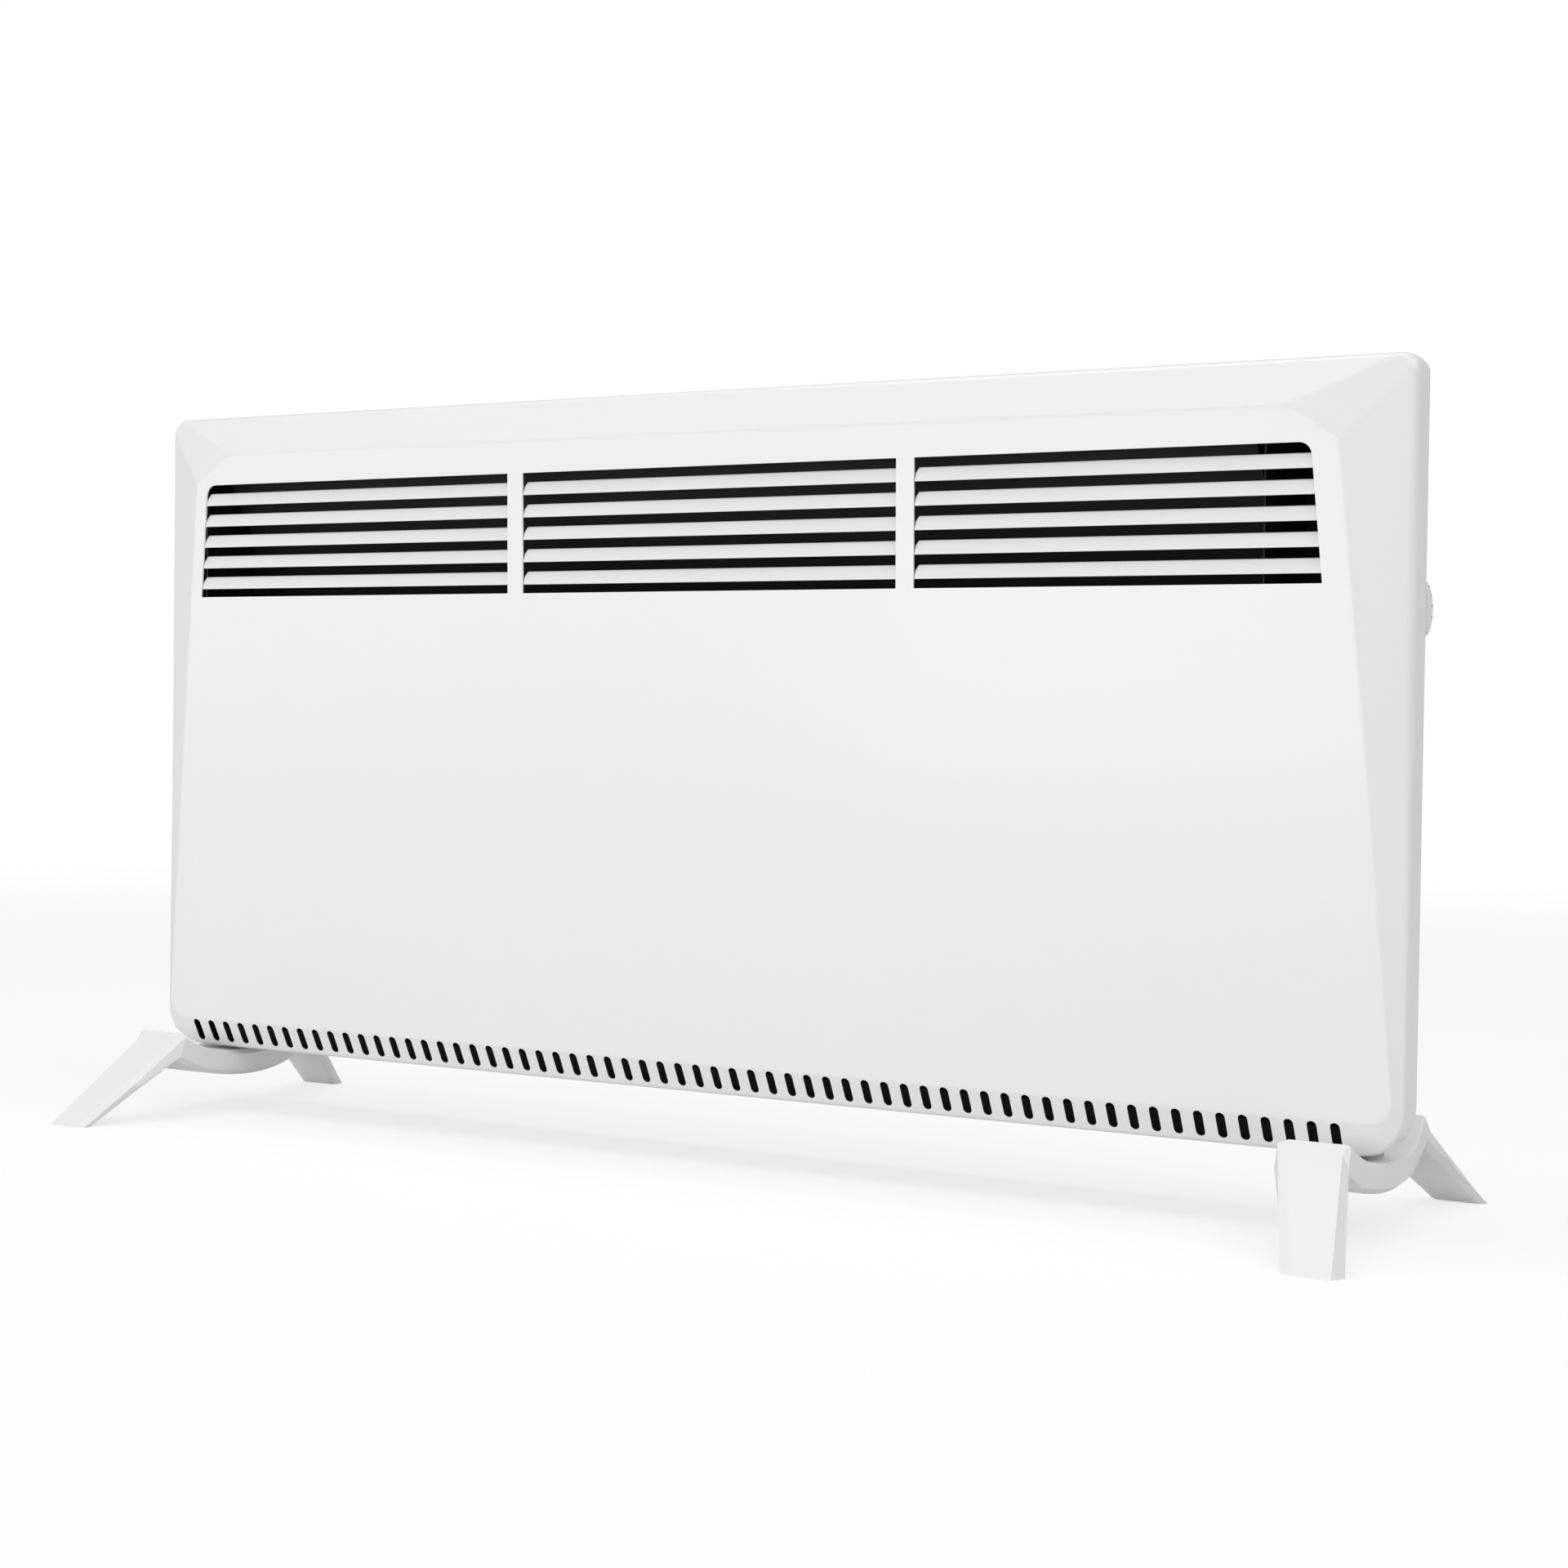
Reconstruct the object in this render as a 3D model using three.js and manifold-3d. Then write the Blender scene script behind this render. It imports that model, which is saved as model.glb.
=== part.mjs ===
// Electric convector heater on two clip-on feet, in millimetres, +Z up.
// The front faces -Y, the control side faces +X, and Z = 0 is the floor.
import * as THREE from 'three';
import Module from 'manifold-3d';
import { ConvexGeometry } from 'three/addons/geometries/ConvexGeometry.js';
import { mergeVertices } from 'three/addons/utils/BufferGeometryUtils.js';

const wasm = await Module();
wasm.setup();

// Front casing, a pressed steel tray. Its back edge lies on Y = 0.
const casingWidth = 830;
const casingHeight = 407.5;
const floorGap = 41; // floor to the casing's lower edge
const sideDepth = 20; // straight side wall behind the rim
const sheet = 1.2; // steel sheet of casing and rear cover
const faceProudTop = 12; // face in front of the rim at the upper crease
const faceProudLow = 4.7; // and at the lower crease
const topBevel = 25.5; // height of the slope above the face
const rightBevel = 38.5; // width of the side slopes at the upper crease
const leftBevel = 32.5;
const lowSideBevel = 4.4; // width of both at the lower crease
const lowBevel = 18; // height of the slope under the face
const lowBevelDepth = 9; // how far it runs to the back
const topCornerRadius = 10;
const lowCornerRadius = 25;
const faceCornerRadius = 25;
const returnFlange = 12; // casing edge turned inwards at the back

// Warm air grille: three groups of pressed slats.
const grilleRows = 6;
const grilleTop = 19.2; // upper crease to the first gap
const grillePitch = 13.32;
const grilleGap = 5;
const centreGroupHalf = 126.2;
const groupBar = 11; // bar between two groups
const rightGrilleMargin = 14.8; // grille end to the side crease
const leftGrilleMargin = 8.8;
const slatLean = 3; // slat's upper edge pushed in
const slatTuck = 1; // slat runs this far behind the bar
const grilleCornerRadius = 6;

// Cold air slots in the lower slope.
const intakePitch = 12.38;
const intakeEnd = 22; // casing's side to the row of slots, at least
const intakeWidth = 5.2;
const intakeShift = -4; // row's middle, to the left of the casing's
const intakeLow = 3.6; // height above the casing's lower edge
const intakeTop = 0.4; // distance under the lower crease

// Rear cover, a shallow steel box with a flange on the casing's flange.
const seatGap = 0.3; // clearance between pieces that touch
const coverFlangeInset = 3;
const coverSideInset = 18;
const coverTopInset = 17.5;
const coverDepth = 45;
const coverEdgeBevel = 8;
const coverCornerRadius = 14;
const coverVentPitch = 20;
const coverVentEnd = 40; // foot's hub to the row of vents, at least
const coverVentWidth = 9;
const coverVentFront = 7;
const coverVentLength = 24;

// Wall hanging slots and their backing plates.
const hangerSpacing = 500;
const hangerDrop = 36; // rear cover's top to the slots' middle
const hangerSlotWidth = 32;
const hangerSlotHeight = 11;
const hangerPlateMargin = 11;
const hangerPlateSheet = 1.5;

// Feet, one moulding with two legs on each side.
const hubInset = 14; // casing's side to the hub
const hubWidth = 38;
const toeSplay = 3.5; // toe beyond the casing's side
const toeWidth = 30.5;
const hubDrop = 2; // casing's lower edge to the hub's top
const hubHeight = 16; // hub's top to the bowl's lowest point
const hubBulge = 5; // hub's sides beyond its ends
const bowlHalf = 48;
const bowlRise = 6;
const kneeY = 60;
const kneeRise = 13; // knee above the casing's lower edge
const kneeInnerY = 66;
const kneeInnerDrop = 4; // casing's lower edge to the knee's inner corner
const toeInnerY = 115;
const toeLength = 11;
const bossFront = 4;
const bossLength = 26;
const bossMargin = 4;
const footScrewInset = 7; // screw axis from each end of the boss
const footScrewSink = 8; // hub's top to the screw head's seat
const footScrewLength = 20;

// Screws.
const screwRadius = 1.9;
const screwHole = 2.2;
const screwHeadRadius = 4;
const screwHeadHeight = 2;
const screwHeadEdge = 1.2; // height of the head's straight edge
const screwHeadTop = 2.8; // radius of the head's flat top
const screwTip = 1;
const coverScrewLength = 8;
const coverScrewTopSpacing = 300;
const coverScrewLowRise = 69; // casing's lower edge to the lower side screws
const coverScrewHighDrop = 62.5; // casing's upper edge to the upper side screws

// Heating elements: finned aluminium bars on sheathed rods.
const elementEndSpace = 67; // rear cover's left side to the finned bars
const elementPartitionSpace = 38; // finned bars to the partition
const elementShieldGap = 7; // fins to the heat shield
const elementRise = 58; // rear cover's floor to the lower bar's axis
const elementGap = 8; // between the two bars' fins
const finRadius = 20;
const finThickness = 2.4;
const finTipThickness = 1.5;
const finCount = 8;
const elementCoreRadius = 8;
const rodRadius = 4;
const studRadius = 2;
const studLength = 9;
const rodOverhang = 22; // rod beyond the finned bar
const bushRadius = 8;
const bushFlangeRadius = 10.5;
const bushFlange = 3;
const bushTail = 1.5; // bush beyond the bracket
const bracketSheet = 1.5;
const bracketOffset = 10; // bar's end to the bracket
const bracketReach = 19; // bracket in front of the element axes
const bracketMargin = 22; // bracket beyond the element axes
const bracketFlange = 16;

// Sheets inside.
const innerSheet = 1;
const shieldStandOff = 7.5; // shield's front to the rear cover
const shieldRise = 26; // rear cover's floor to the shield
const shieldDeflectorGap = 54;
const shieldEnd = 24; // shield stops this far from the brackets
const deflectorFlange = 12;
const deflectorDrop = 4; // grille's lowest gap to the deflector's bend
const innerFrontGap = 2; // rim to the front edges of deflector and partition
const deflectorTopRise = 1; // deflector's front edge above the upper crease
const deflectorEndGap = 21; // to the rear cover's left side
const deflectorPartitionGap = 8;
const controlSpace = 63; // partition to the rear cover's right side
const partitionEndGap = 4; // partition's ends to the cover's inner bevels
const partitionFlange = 7;
const leadHoleRadius = 6;

// Thermal cut-out on its bracket.
const cutoutX = 40;
const cutoutRise = 44; // fins to the cut-out's axis
const cutoutRadius = 8;
const cutoutHeight = 9;
const cutoutShoulder = 5.5; // height of the cut-out's straight side
const cutoutCapRadius = 6.8;
const cutoutStandOff = 16;
const cutoutPlate = 20;

// Control side.
const bezelFlangeGap = 2; // rear cover's flange to the bezel
const knobDrop = 127.5; // casing's upper edge to the knob's axis
const lampDrop = 31; // knob's axis to the lamp
const rockerDrop = 65; // knob's axis to the upper key's pivot
const rockerGap = 1; // between the two switch frames
const bezelTopSpace = 16; // thermostat body to the bezel's end
const bezelEndSpace = 14.5; // lower switch frame to the bezel's end
const bezelWidth = 31;
const bezelThickness = 5;
const bezelCornerRadius = 6;
const bezelOverlap = 3.5; // bezel beyond the window in the cover
const bezelScrewInset = 6;
const bezelScrewLength = 9;
const knobRadius = 15.2;
const knobSkirtRadius = 11.5;
const knobSkirt = 2.8; // height of the skirt under the disc
const knobHeight = 8;
const knobEdge = 1.6;
const knobGripWidth = 5;
const knobGripFlat = 0.4; // flat at the grip's ends
const knobGripHeight = 2.4;
const knobGripHalf = 11;
const shaftRadius = 3;
const shaftClearance = 0.3;
const shaftInKnob = 5;
const shaftInBody = 6;
const thermostatDepth = 24;
const thermostatHeight = 30;
const thermostatSideGap = 0.5; // thermostat body to the window's sides
const lampRadius = 2.6;
const lampDome = 1.2;
const lampShoulder = 0.9;
const lampShoulderRadius = 1.8;
const lampBody = 9;

// Rocker switches.
const rockerTilt = 7; // degrees, key at rest in its off position
const keyHalf = 8;
const keyWidth = 11.4;
const keyTip = 5.2; // pivot to the key's raised ends
const keyDip = 3.6; // pivot to the key's middle
const keyBack = 3; // pivot to the key's back
const keyBackHalf = 5.6;
const keyHeel = 9; // pivot to the key's heels, above and below it
const keyPinRadius = 1.2;
const keyPinLength = 0.9;
const keyClearance = 0.3;
const pivotDepth = 1.5; // pivot behind the bezel's face
const switchWall = 1.3;
const switchFrame = 1.2; // frame's thickness and its overlap
const switchDepth = 18;

// Terminal block, tilt switch, cord gland and wiring.
const terminalSize = [44, 14, 20];
const terminalHoleSpacing = 13;
const terminalHoleRadius = 2.6;
const terminalHoleDepth = 7;
const terminalSideGap = 3; // block to the rear cover's bevel
const terminalRise = 88; // rear cover's floor to the block's middle
const tiltSize = [22, 18, 26];
const tiltInset = 11; // partition to the tilt switch
const tiltGap = 31; // terminal block to the tilt switch
const glandInset = 30;
const glandRise = 40;
const glandRadius = 7.5;
const glandFlangeRadius = 10.5;
const glandBore = 3.8;
const glandFlange = 2.2;
const glandNoseRadius = 6;
const glandOut = 6;
const glandIn = 8;
const leadRadius = 1.5;
const leadSides = 8;
const leadSpread = 3; // element leads in front of the controls' plane, supply lead behind it
const leadBend = 12; // height of a lead's bends
const leadThrough = 4; // element lead runs straight this far past the partition
const leadRises = [24, 13]; // partition to the upright stretch of each element lead
const supplyRise = 5; // thermostat's back to the supply lead's upright stretch
const linkBulge = 12;

// Derived levels.
const casingLow = floorGap;
const casingTop = floorGap + casingHeight;
const rimY = -sideDepth;
const upperCrease = casingTop - topBevel;
const lowerCrease = casingLow + lowBevel;
const lowSlope = Math.hypot(lowBevel, lowBevelDepth); // length of the lower slope
const coverLow = casingLow + coverFlangeInset;
const coverTop = casingTop - coverTopInset;
const coverHalf = casingWidth / 2 - coverSideInset;
const coverInnerBack = coverDepth - sheet;
const backSeat = coverInnerBack - seatGap; // where inner pieces end
const partitionLow = coverLow + coverEdgeBevel + partitionEndGap;
const partitionTop = coverTop - coverEdgeBevel - partitionEndGap;
const bezelBack = coverHalf + seatGap;
const bezelFace = bezelBack + bezelThickness;
const innerFront = rimY + innerFrontGap;
const grilleHigh = upperCrease - grilleTop;
const grilleLow = grilleHigh - (grilleRows - 1) * grillePitch - grilleGap;
const keyRadius = Math.hypot(keyTip, keyHalf);
const switchHalf = keyRadius + keyClearance + switchWall + 2 * switchFrame; // half a frame's height
const controlY = seatGap + sheet + bezelFlangeGap + bezelWidth / 2;
const knobZ = casingTop - knobDrop;
const lampZ = knobZ - lampDrop;
const rockerHeights = [0, 1].map((i) => knobZ - rockerDrop - i * (2 * switchHalf + rockerGap));
const bezelTop = knobZ + thermostatHeight / 2 + bezelTopSpace;
const bezelLow = rockerHeights[1] - switchHalf - bezelEndSpace;
const hubTop = casingLow - hubDrop;
const hubLow = hubTop - hubHeight; // lowest point of the hub's bowl
const kneeTop = casingLow + kneeRise;
const footScrewSeat = hubTop - footScrewSink;
const hubOuterX = casingWidth / 2 - hubInset;
const hubInnerX = hubOuterX - hubWidth;
const toeOuterX = casingWidth / 2 + toeSplay;
const toeInnerX = toeOuterX - toeWidth;
const toeOuterY = toeInnerY + toeLength;
const partitionX = coverHalf - controlSpace;
const elementLeftX = elementEndSpace - coverHalf;
const elementRightX = partitionX - elementPartitionSpace;
const elementHeights = [0, 1].map((i) => coverLow + elementRise + i * (2 * finRadius + elementGap));
const deflectorBend = grilleLow - deflectorDrop;
const deflectorLow = deflectorBend - deflectorFlange;
const shieldFrontY = backSeat - shieldStandOff;
const shieldLow = coverLow + shieldRise;
const shieldTop = deflectorLow - shieldDeflectorGap;
const elementY = shieldFrontY - elementShieldGap - finRadius;
const cutoutZ = elementHeights[1] + finRadius + cutoutRise;
const terminalX = coverHalf - coverEdgeBevel - terminalSideGap - terminalSize[0] / 2;
const terminalZ = coverLow + terminalRise;
const tiltX = partitionX + tiltInset + tiltSize[0] / 2;
const tiltZ = terminalZ + tiltGap + (terminalSize[2] + tiltSize[2]) / 2;
const glandX = partitionX + glandInset;
const glandZ = coverLow + glandRise;
const hangerHeight = coverTop - hangerDrop;
const footScrewYs = [bossFront + footScrewInset, bossFront + bossLength - footScrewInset];

const steel = new THREE.MeshStandardMaterial({ color: 0xf1f1f0, roughness: 0.38, metalness: 0 });
const galvanised = new THREE.MeshStandardMaterial({ color: 0xb9bcbe, roughness: 0.42, metalness: 0.9 });
const aluminium = new THREE.MeshStandardMaterial({ color: 0xa9abad, roughness: 0.5, metalness: 0.9 });
const plastic = new THREE.MeshStandardMaterial({ color: 0xeeeeec, roughness: 0.45, metalness: 0 });
const darkPlastic = new THREE.MeshStandardMaterial({ color: 0x2a2b2c, roughness: 0.5, metalness: 0 });
const ceramic = new THREE.MeshStandardMaterial({ color: 0xe6e0d2, roughness: 0.7, metalness: 0 });
const screwSteel = new THREE.MeshStandardMaterial({ color: 0xc2c4c6, roughness: 0.35, metalness: 1 });
const lens = new THREE.MeshStandardMaterial({ color: 0xd8591f, roughness: 0.15, metalness: 0 });
const wire = new THREE.MeshStandardMaterial({ color: 0x8a3b2a, roughness: 0.5, metalness: 0 });

// ---- Solids ----

function signedVolume(position, index) {
  const a = new THREE.Vector3();
  const b = new THREE.Vector3();
  const c = new THREE.Vector3();
  let sum = 0;
  for (let i = 0; i < index.count; i += 3) {
    a.fromBufferAttribute(position, index.getX(i));
    b.fromBufferAttribute(position, index.getX(i + 1));
    c.fromBufferAttribute(position, index.getX(i + 2));
    sum += a.dot(b.cross(c));
  }
  return sum;
}

// A closed geometry with merged corners, as a solid that can be joined and cut.
function solid(geometry) {
  geometry.deleteAttribute('normal');
  geometry.deleteAttribute('uv');
  const merged = mergeVertices(geometry, 1e-4);
  const position = merged.attributes.position;
  const corners = [];
  const inward = signedVolume(position, merged.index) < 0;
  for (let i = 0; i < merged.index.count; i += 3) {
    const [a, b, c] = [0, 1, 2].map((k) => merged.index.getX(i + k));
    if (a === b || b === c || c === a) continue;
    corners.push(a, inward ? c : b, inward ? b : c);
  }
  return new wasm.Manifold(new wasm.Mesh({
    numProp: 3,
    vertProperties: new Float32Array(position.array),
    triVerts: new Uint32Array(corners),
  }));
}

function geometryOf(body) {
  const mesh = body.getMesh();
  const geometry = new THREE.BufferGeometry();
  geometry.setAttribute('position', new THREE.BufferAttribute(mesh.vertProperties, 3));
  geometry.setIndex(new THREE.BufferAttribute(mesh.triVerts, 1));
  geometry.computeVertexNormals();
  return geometry;
}

const alongX = new THREE.Matrix4().makeBasis(
  new THREE.Vector3(0, 1, 0), new THREE.Vector3(0, 0, 1), new THREE.Vector3(1, 0, 0));
const alongY = new THREE.Matrix4().makeBasis(
  new THREE.Vector3(1, 0, 0), new THREE.Vector3(0, 0, 1), new THREE.Vector3(0, -1, 0));
const alongZ = new THREE.Matrix4();

// Outline points (u, v) raised from one level to another along an axis.
// Along X the outline is (y, z), along Y it is (x, z) and along Z it is (x, y).
function raised(outlines, axis, from, to) {
  const shapes = outlines.map((points) => new THREE.Shape(points));
  const geometry = new THREE.ExtrudeGeometry(shapes, { depth: to - from, bevelEnabled: false });
  geometry.translate(0, 0, axis === alongY ? -to : from);
  geometry.applyMatrix4(axis);
  return solid(geometry);
}

function block(x0, x1, y0, y1, z0, z1) {
  const geometry = new THREE.BoxGeometry(x1 - x0, y1 - y0, z1 - z0);
  geometry.translate((x0 + x1) / 2, (y0 + y1) / 2, (z0 + z1) / 2);
  return solid(geometry);
}

function round(radius, axis, u, v, from, to, steps = 16) {
  return raised([circle(u, v, radius, steps)], axis, from, to);
}

function circle(u, v, radius, steps) {
  return Array.from({ length: steps }, (_, i) => {
    const angle = 2 * Math.PI * (i + 0.5) / steps;
    return new THREE.Vector2(u + radius * Math.cos(angle), v + radius * Math.sin(angle));
  });
}

// A profile of (radius, height) points turned about the Z axis.
function turned(profile, steps = 20) {
  const geometry = new THREE.LatheGeometry(profile.map(([r, h]) => new THREE.Vector2(r, h)), steps);
  geometry.rotateX(Math.PI / 2);
  return solid(geometry);
}

function hull(points) {
  return solid(new ConvexGeometry(points));
}

// A polygon whose corners (u, v, radius) are rounded by arcs.
function rounded(corners, steps = 5) {
  return corners.flatMap(([u, v, radius], i) => {
    const corner = new THREE.Vector2(u, v);
    if (!radius) return [corner];
    const [pu, pv] = corners.at(i - 1);
    const [nu, nv] = corners[(i + 1) % corners.length];
    const back = new THREE.Vector2(pu, pv).sub(corner).normalize();
    const ahead = new THREE.Vector2(nu, nv).sub(corner).normalize();
    const halfAngle = Math.acos(THREE.MathUtils.clamp(back.dot(ahead), -1, 1)) / 2;
    const centre = back.clone().add(ahead).normalize()
      .multiplyScalar(radius / Math.sin(halfAngle)).add(corner);
    const first = back.multiplyScalar(radius / Math.tan(halfAngle)).add(corner).sub(centre);
    const last = ahead.multiplyScalar(radius / Math.tan(halfAngle)).add(corner).sub(centre);
    const turn = Math.atan2(first.cross(last), first.dot(last));
    return Array.from({ length: steps + 1 }, (_, k) =>
      first.clone().rotateAround(new THREE.Vector2(), turn * k / steps).add(centre));
  });
}

function rectangle(u0, u1, v0, v1, radius = 0, steps = 5) {
  return rounded([[u0, v0, radius], [u1, v0, radius], [u1, v1, radius], [u0, v1, radius]], steps);
}

// ---- Front casing ----

// The front plane leans back towards the lower crease.
function faceY(z) {
  const lean = (faceProudTop - faceProudLow) / (upperCrease - lowerCrease);
  return rimY - faceProudTop + lean * (upperCrease - z);
}

// Distance from the casing's centre plane to the side crease.
function creaseX(z, bevelAtTop) {
  const share = (upperCrease - z) / (upperCrease - lowerCrease);
  return casingWidth / 2 - bevelAtTop - share * (lowSideBevel - bevelAtTop);
}

function casingOutline(inset) {
  const half = casingWidth / 2 - inset;
  const low = Math.max(lowCornerRadius - inset, 1);
  const top = Math.max(topCornerRadius - inset, 1);
  return rounded([
    [-half, casingLow + inset, low], [half, casingLow + inset, low],
    [half, casingTop - inset, top], [-half, casingTop - inset, top],
  ], 6);
}

// The casing's outer form, or the space inside walls of a given thickness.
function casingForm(wall) {
  const slope = Math.atan2(faceProudTop, topBevel);
  const faceInset = wall * Math.tan(slope / 2);
  const rimShift = wall * Math.tan((Math.PI / 2 - slope) / 2);
  const back = wall > 0 ? wall : 0;
  const outline = casingOutline(wall);
  const topZ = upperCrease - faceInset;
  const face = rounded([
    [-creaseX(casingLow, leftBevel) + faceInset, casingLow, 0],
    [creaseX(casingLow, rightBevel) - faceInset, casingLow, 0],
    [creaseX(topZ, rightBevel) - faceInset, topZ, faceCornerRadius],
    [-creaseX(topZ, leftBevel) + faceInset, topZ, faceCornerRadius],
  ], 6);
  const points = [
    ...face.map((p) => new THREE.Vector3(p.x, faceY(p.y) + wall, p.y)),
    ...outline.map((p) => new THREE.Vector3(p.x, rimY + rimShift, p.y)),
    ...outline.map((p) => new THREE.Vector3(p.x, back, p.y)),
  ];
  const reach = 4 * sideDepth;
  const prism = raised([outline], alongY, -reach, reach);
  return hull(points).intersect(prism).subtract(lowWedge(wall));
}

// What the lower slope cuts away.
function lowWedge(wall) {
  const y = faceY(lowerCrease) + wall * lowSlope / lowBevel;
  const front = y - 4 * sideDepth;
  const low = lowerCrease - 2 * lowBevel;
  const high = lowerCrease + lowBevel;
  const wedge = [[y + 2 * lowBevelDepth, low], [y - lowBevelDepth, high], [front, high], [front, low]]
    .map(([u, v]) => new THREE.Vector2(u, v));
  return raised([wedge], alongX, -casingWidth, casingWidth);
}

// Left and right limits of each grille group at a height.
function groupLimits(z) {
  const inner = centreGroupHalf + groupBar;
  return [
    [-creaseX(z, leftBevel) + leftGrilleMargin, -inner],
    [-centreGroupHalf, centreGroupHalf],
    [inner, creaseX(z, rightBevel) - rightGrilleMargin],
  ];
}

function grilleWindows() {
  const low = groupLimits(grilleLow);
  const high = groupLimits(grilleHigh);
  const corners = [[grilleCornerRadius, 0], [0, 0], [0, grilleCornerRadius]];
  const windows = corners.map(([left, right], i) => rounded([
    [low[i][0], grilleLow, 0], [low[i][1], grilleLow, 0],
    [high[i][1], grilleHigh, right], [high[i][0], grilleHigh, left],
  ], 4));
  return raised(windows, alongY, 3 * rimY, rimY + sideDepth / 2);
}

// Slats with their upper edges pushed in, tucked behind the bars.
function slats() {
  const joined = [];
  for (let row = 1; row < grilleRows; row += 1) {
    const low = grilleHigh - row * grillePitch;
    const high = low + grillePitch - grilleGap;
    const skin = 0.05; // keeps the slat's edge inside the sheet
    const section = [
      new THREE.Vector2(faceY(low) + skin, low),
      new THREE.Vector2(faceY(low) + sheet, low),
      new THREE.Vector2(faceY(high) + slatLean + sheet, high),
      new THREE.Vector2(faceY(high) + slatLean, high),
    ];
    for (const [left, right] of groupLimits(low)) {
      joined.push(raised([section], alongX, left - slatTuck, right + slatTuck));
    }
  }
  return joined;
}

// Middles of a row with a fixed pitch, as long as its half length allows.
function rowOf(halfLength, pitch) {
  const each = Math.floor(halfLength / pitch);
  return Array.from({ length: 2 * each + 1 }, (_, i) => (i - each) * pitch);
}

function intakeSlots() {
  const across = lowBevelDepth / lowSlope;
  const upright = lowBevel / lowSlope;
  const length = (lowBevel - intakeLow - intakeTop) / upright;
  const middle = (lowBevel - intakeLow + intakeTop) / 2;
  const half = intakeWidth / 2;
  const shapes = rowOf(casingWidth / 2 - intakeEnd, intakePitch).map((x) => new THREE.Shape(rectangle(
    intakeShift + x - half, intakeShift + x + half, -length / 2, length / 2, half * 0.9, 1)));
  const depth = 6 * sheet;
  const geometry = new THREE.ExtrudeGeometry(shapes, { depth, bevelEnabled: false });
  geometry.translate(0, 0, -depth / 2);
  geometry.applyMatrix4(new THREE.Matrix4().makeBasis(
    new THREE.Vector3(1, 0, 0),
    new THREE.Vector3(0, -across, upright),
    new THREE.Vector3(0, -upright, -across)));
  geometry.translate(0, faceY(lowerCrease) + middle * across / upright, lowerCrease - middle);
  return solid(geometry);
}

function coverScrewPlaces() {
  const across = coverHalf + (coverSideInset - coverFlangeInset) / 2;
  const top = coverTop + (coverTopInset - coverFlangeInset) / 2;
  const upper = [-1, 0, 1].map((i) => [i * coverScrewTopSpacing, top]);
  const heights = [casingLow + coverScrewLowRise, casingTop - coverScrewHighDrop];
  const sides = heights.flatMap((z) => [[-across, z], [across, z]]);
  return [...upper, ...sides];
}

function frontCasing() {
  const flange = raised([casingOutline(sheet / 2)], alongY, -sheet, 0)
    .subtract(raised([casingOutline(returnFlange)], alongY, -2 * sheet, sheet));
  let body = casingForm(0).subtract(casingForm(sheet)).add(flange).subtract(grilleWindows());
  for (const slat of slats()) body = body.add(slat);
  body = body.subtract(intakeSlots());
  for (const [x, z] of coverScrewPlaces()) {
    body = body.subtract(round(screwHole, alongY, x, z, -3 * sheet, sheet, 10));
  }
  return body;
}

// ---- Rear cover ----

function coverOutline(inset) {
  const radius = Math.max(coverCornerRadius - inset, 1);
  const half = coverHalf - inset;
  return rectangle(-half, half, coverLow + inset, coverTop - inset, radius, 4);
}

function coverForm(wall) {
  const bevelShift = wall * Math.tan(Math.PI / 8);
  const place = (inset, y) => coverOutline(inset).map((p) => new THREE.Vector3(p.x, y, p.y));
  return hull([
    ...place(wall, wall > 0 ? -wall : seatGap),
    ...place(wall, coverDepth - coverEdgeBevel - bevelShift),
    ...place(coverEdgeBevel + bevelShift, coverDepth - wall),
  ]);
}

function coverFlange() {
  const half = casingWidth / 2 - coverFlangeInset;
  const top = casingTop - coverFlangeInset;
  const outline = rounded([
    [-half, coverLow, lowCornerRadius - coverFlangeInset],
    [half, coverLow, lowCornerRadius - coverFlangeInset],
    [half, top, topCornerRadius - coverFlangeInset],
    [-half, top, topCornerRadius - coverFlangeInset],
  ], 4);
  return raised([outline], alongY, seatGap, seatGap + sheet);
}

function coverVents() {
  const outlines = rowOf(hubInnerX - coverVentEnd, coverVentPitch).map((x) => rectangle(
    x - coverVentWidth / 2, x + coverVentWidth / 2, coverVentFront, coverVentFront + coverVentLength));
  return raised(outlines, alongZ, coverLow - sheet, coverLow + 2 * sheet);
}

function hangerSlot(x, margin, from, to) {
  const halfWidth = hangerSlotWidth / 2 + margin;
  const halfHeight = hangerSlotHeight / 2 + margin;
  return raised([rectangle(x - halfWidth, x + halfWidth,
    hangerHeight - halfHeight, hangerHeight + halfHeight, 2, 2)], alongY, from, to);
}

function controlOutline(sideMargin, endMargin, from, to) {
  const halfWidth = bezelWidth / 2 - sideMargin;
  return raised([rectangle(controlY - halfWidth, controlY + halfWidth,
    bezelLow + endMargin, bezelTop - endMargin, bezelCornerRadius - sideMargin, 3)], alongX, from, to);
}

function bezelScrewHeights() {
  return [bezelLow + bezelScrewInset, bezelTop - bezelScrewInset];
}

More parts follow.
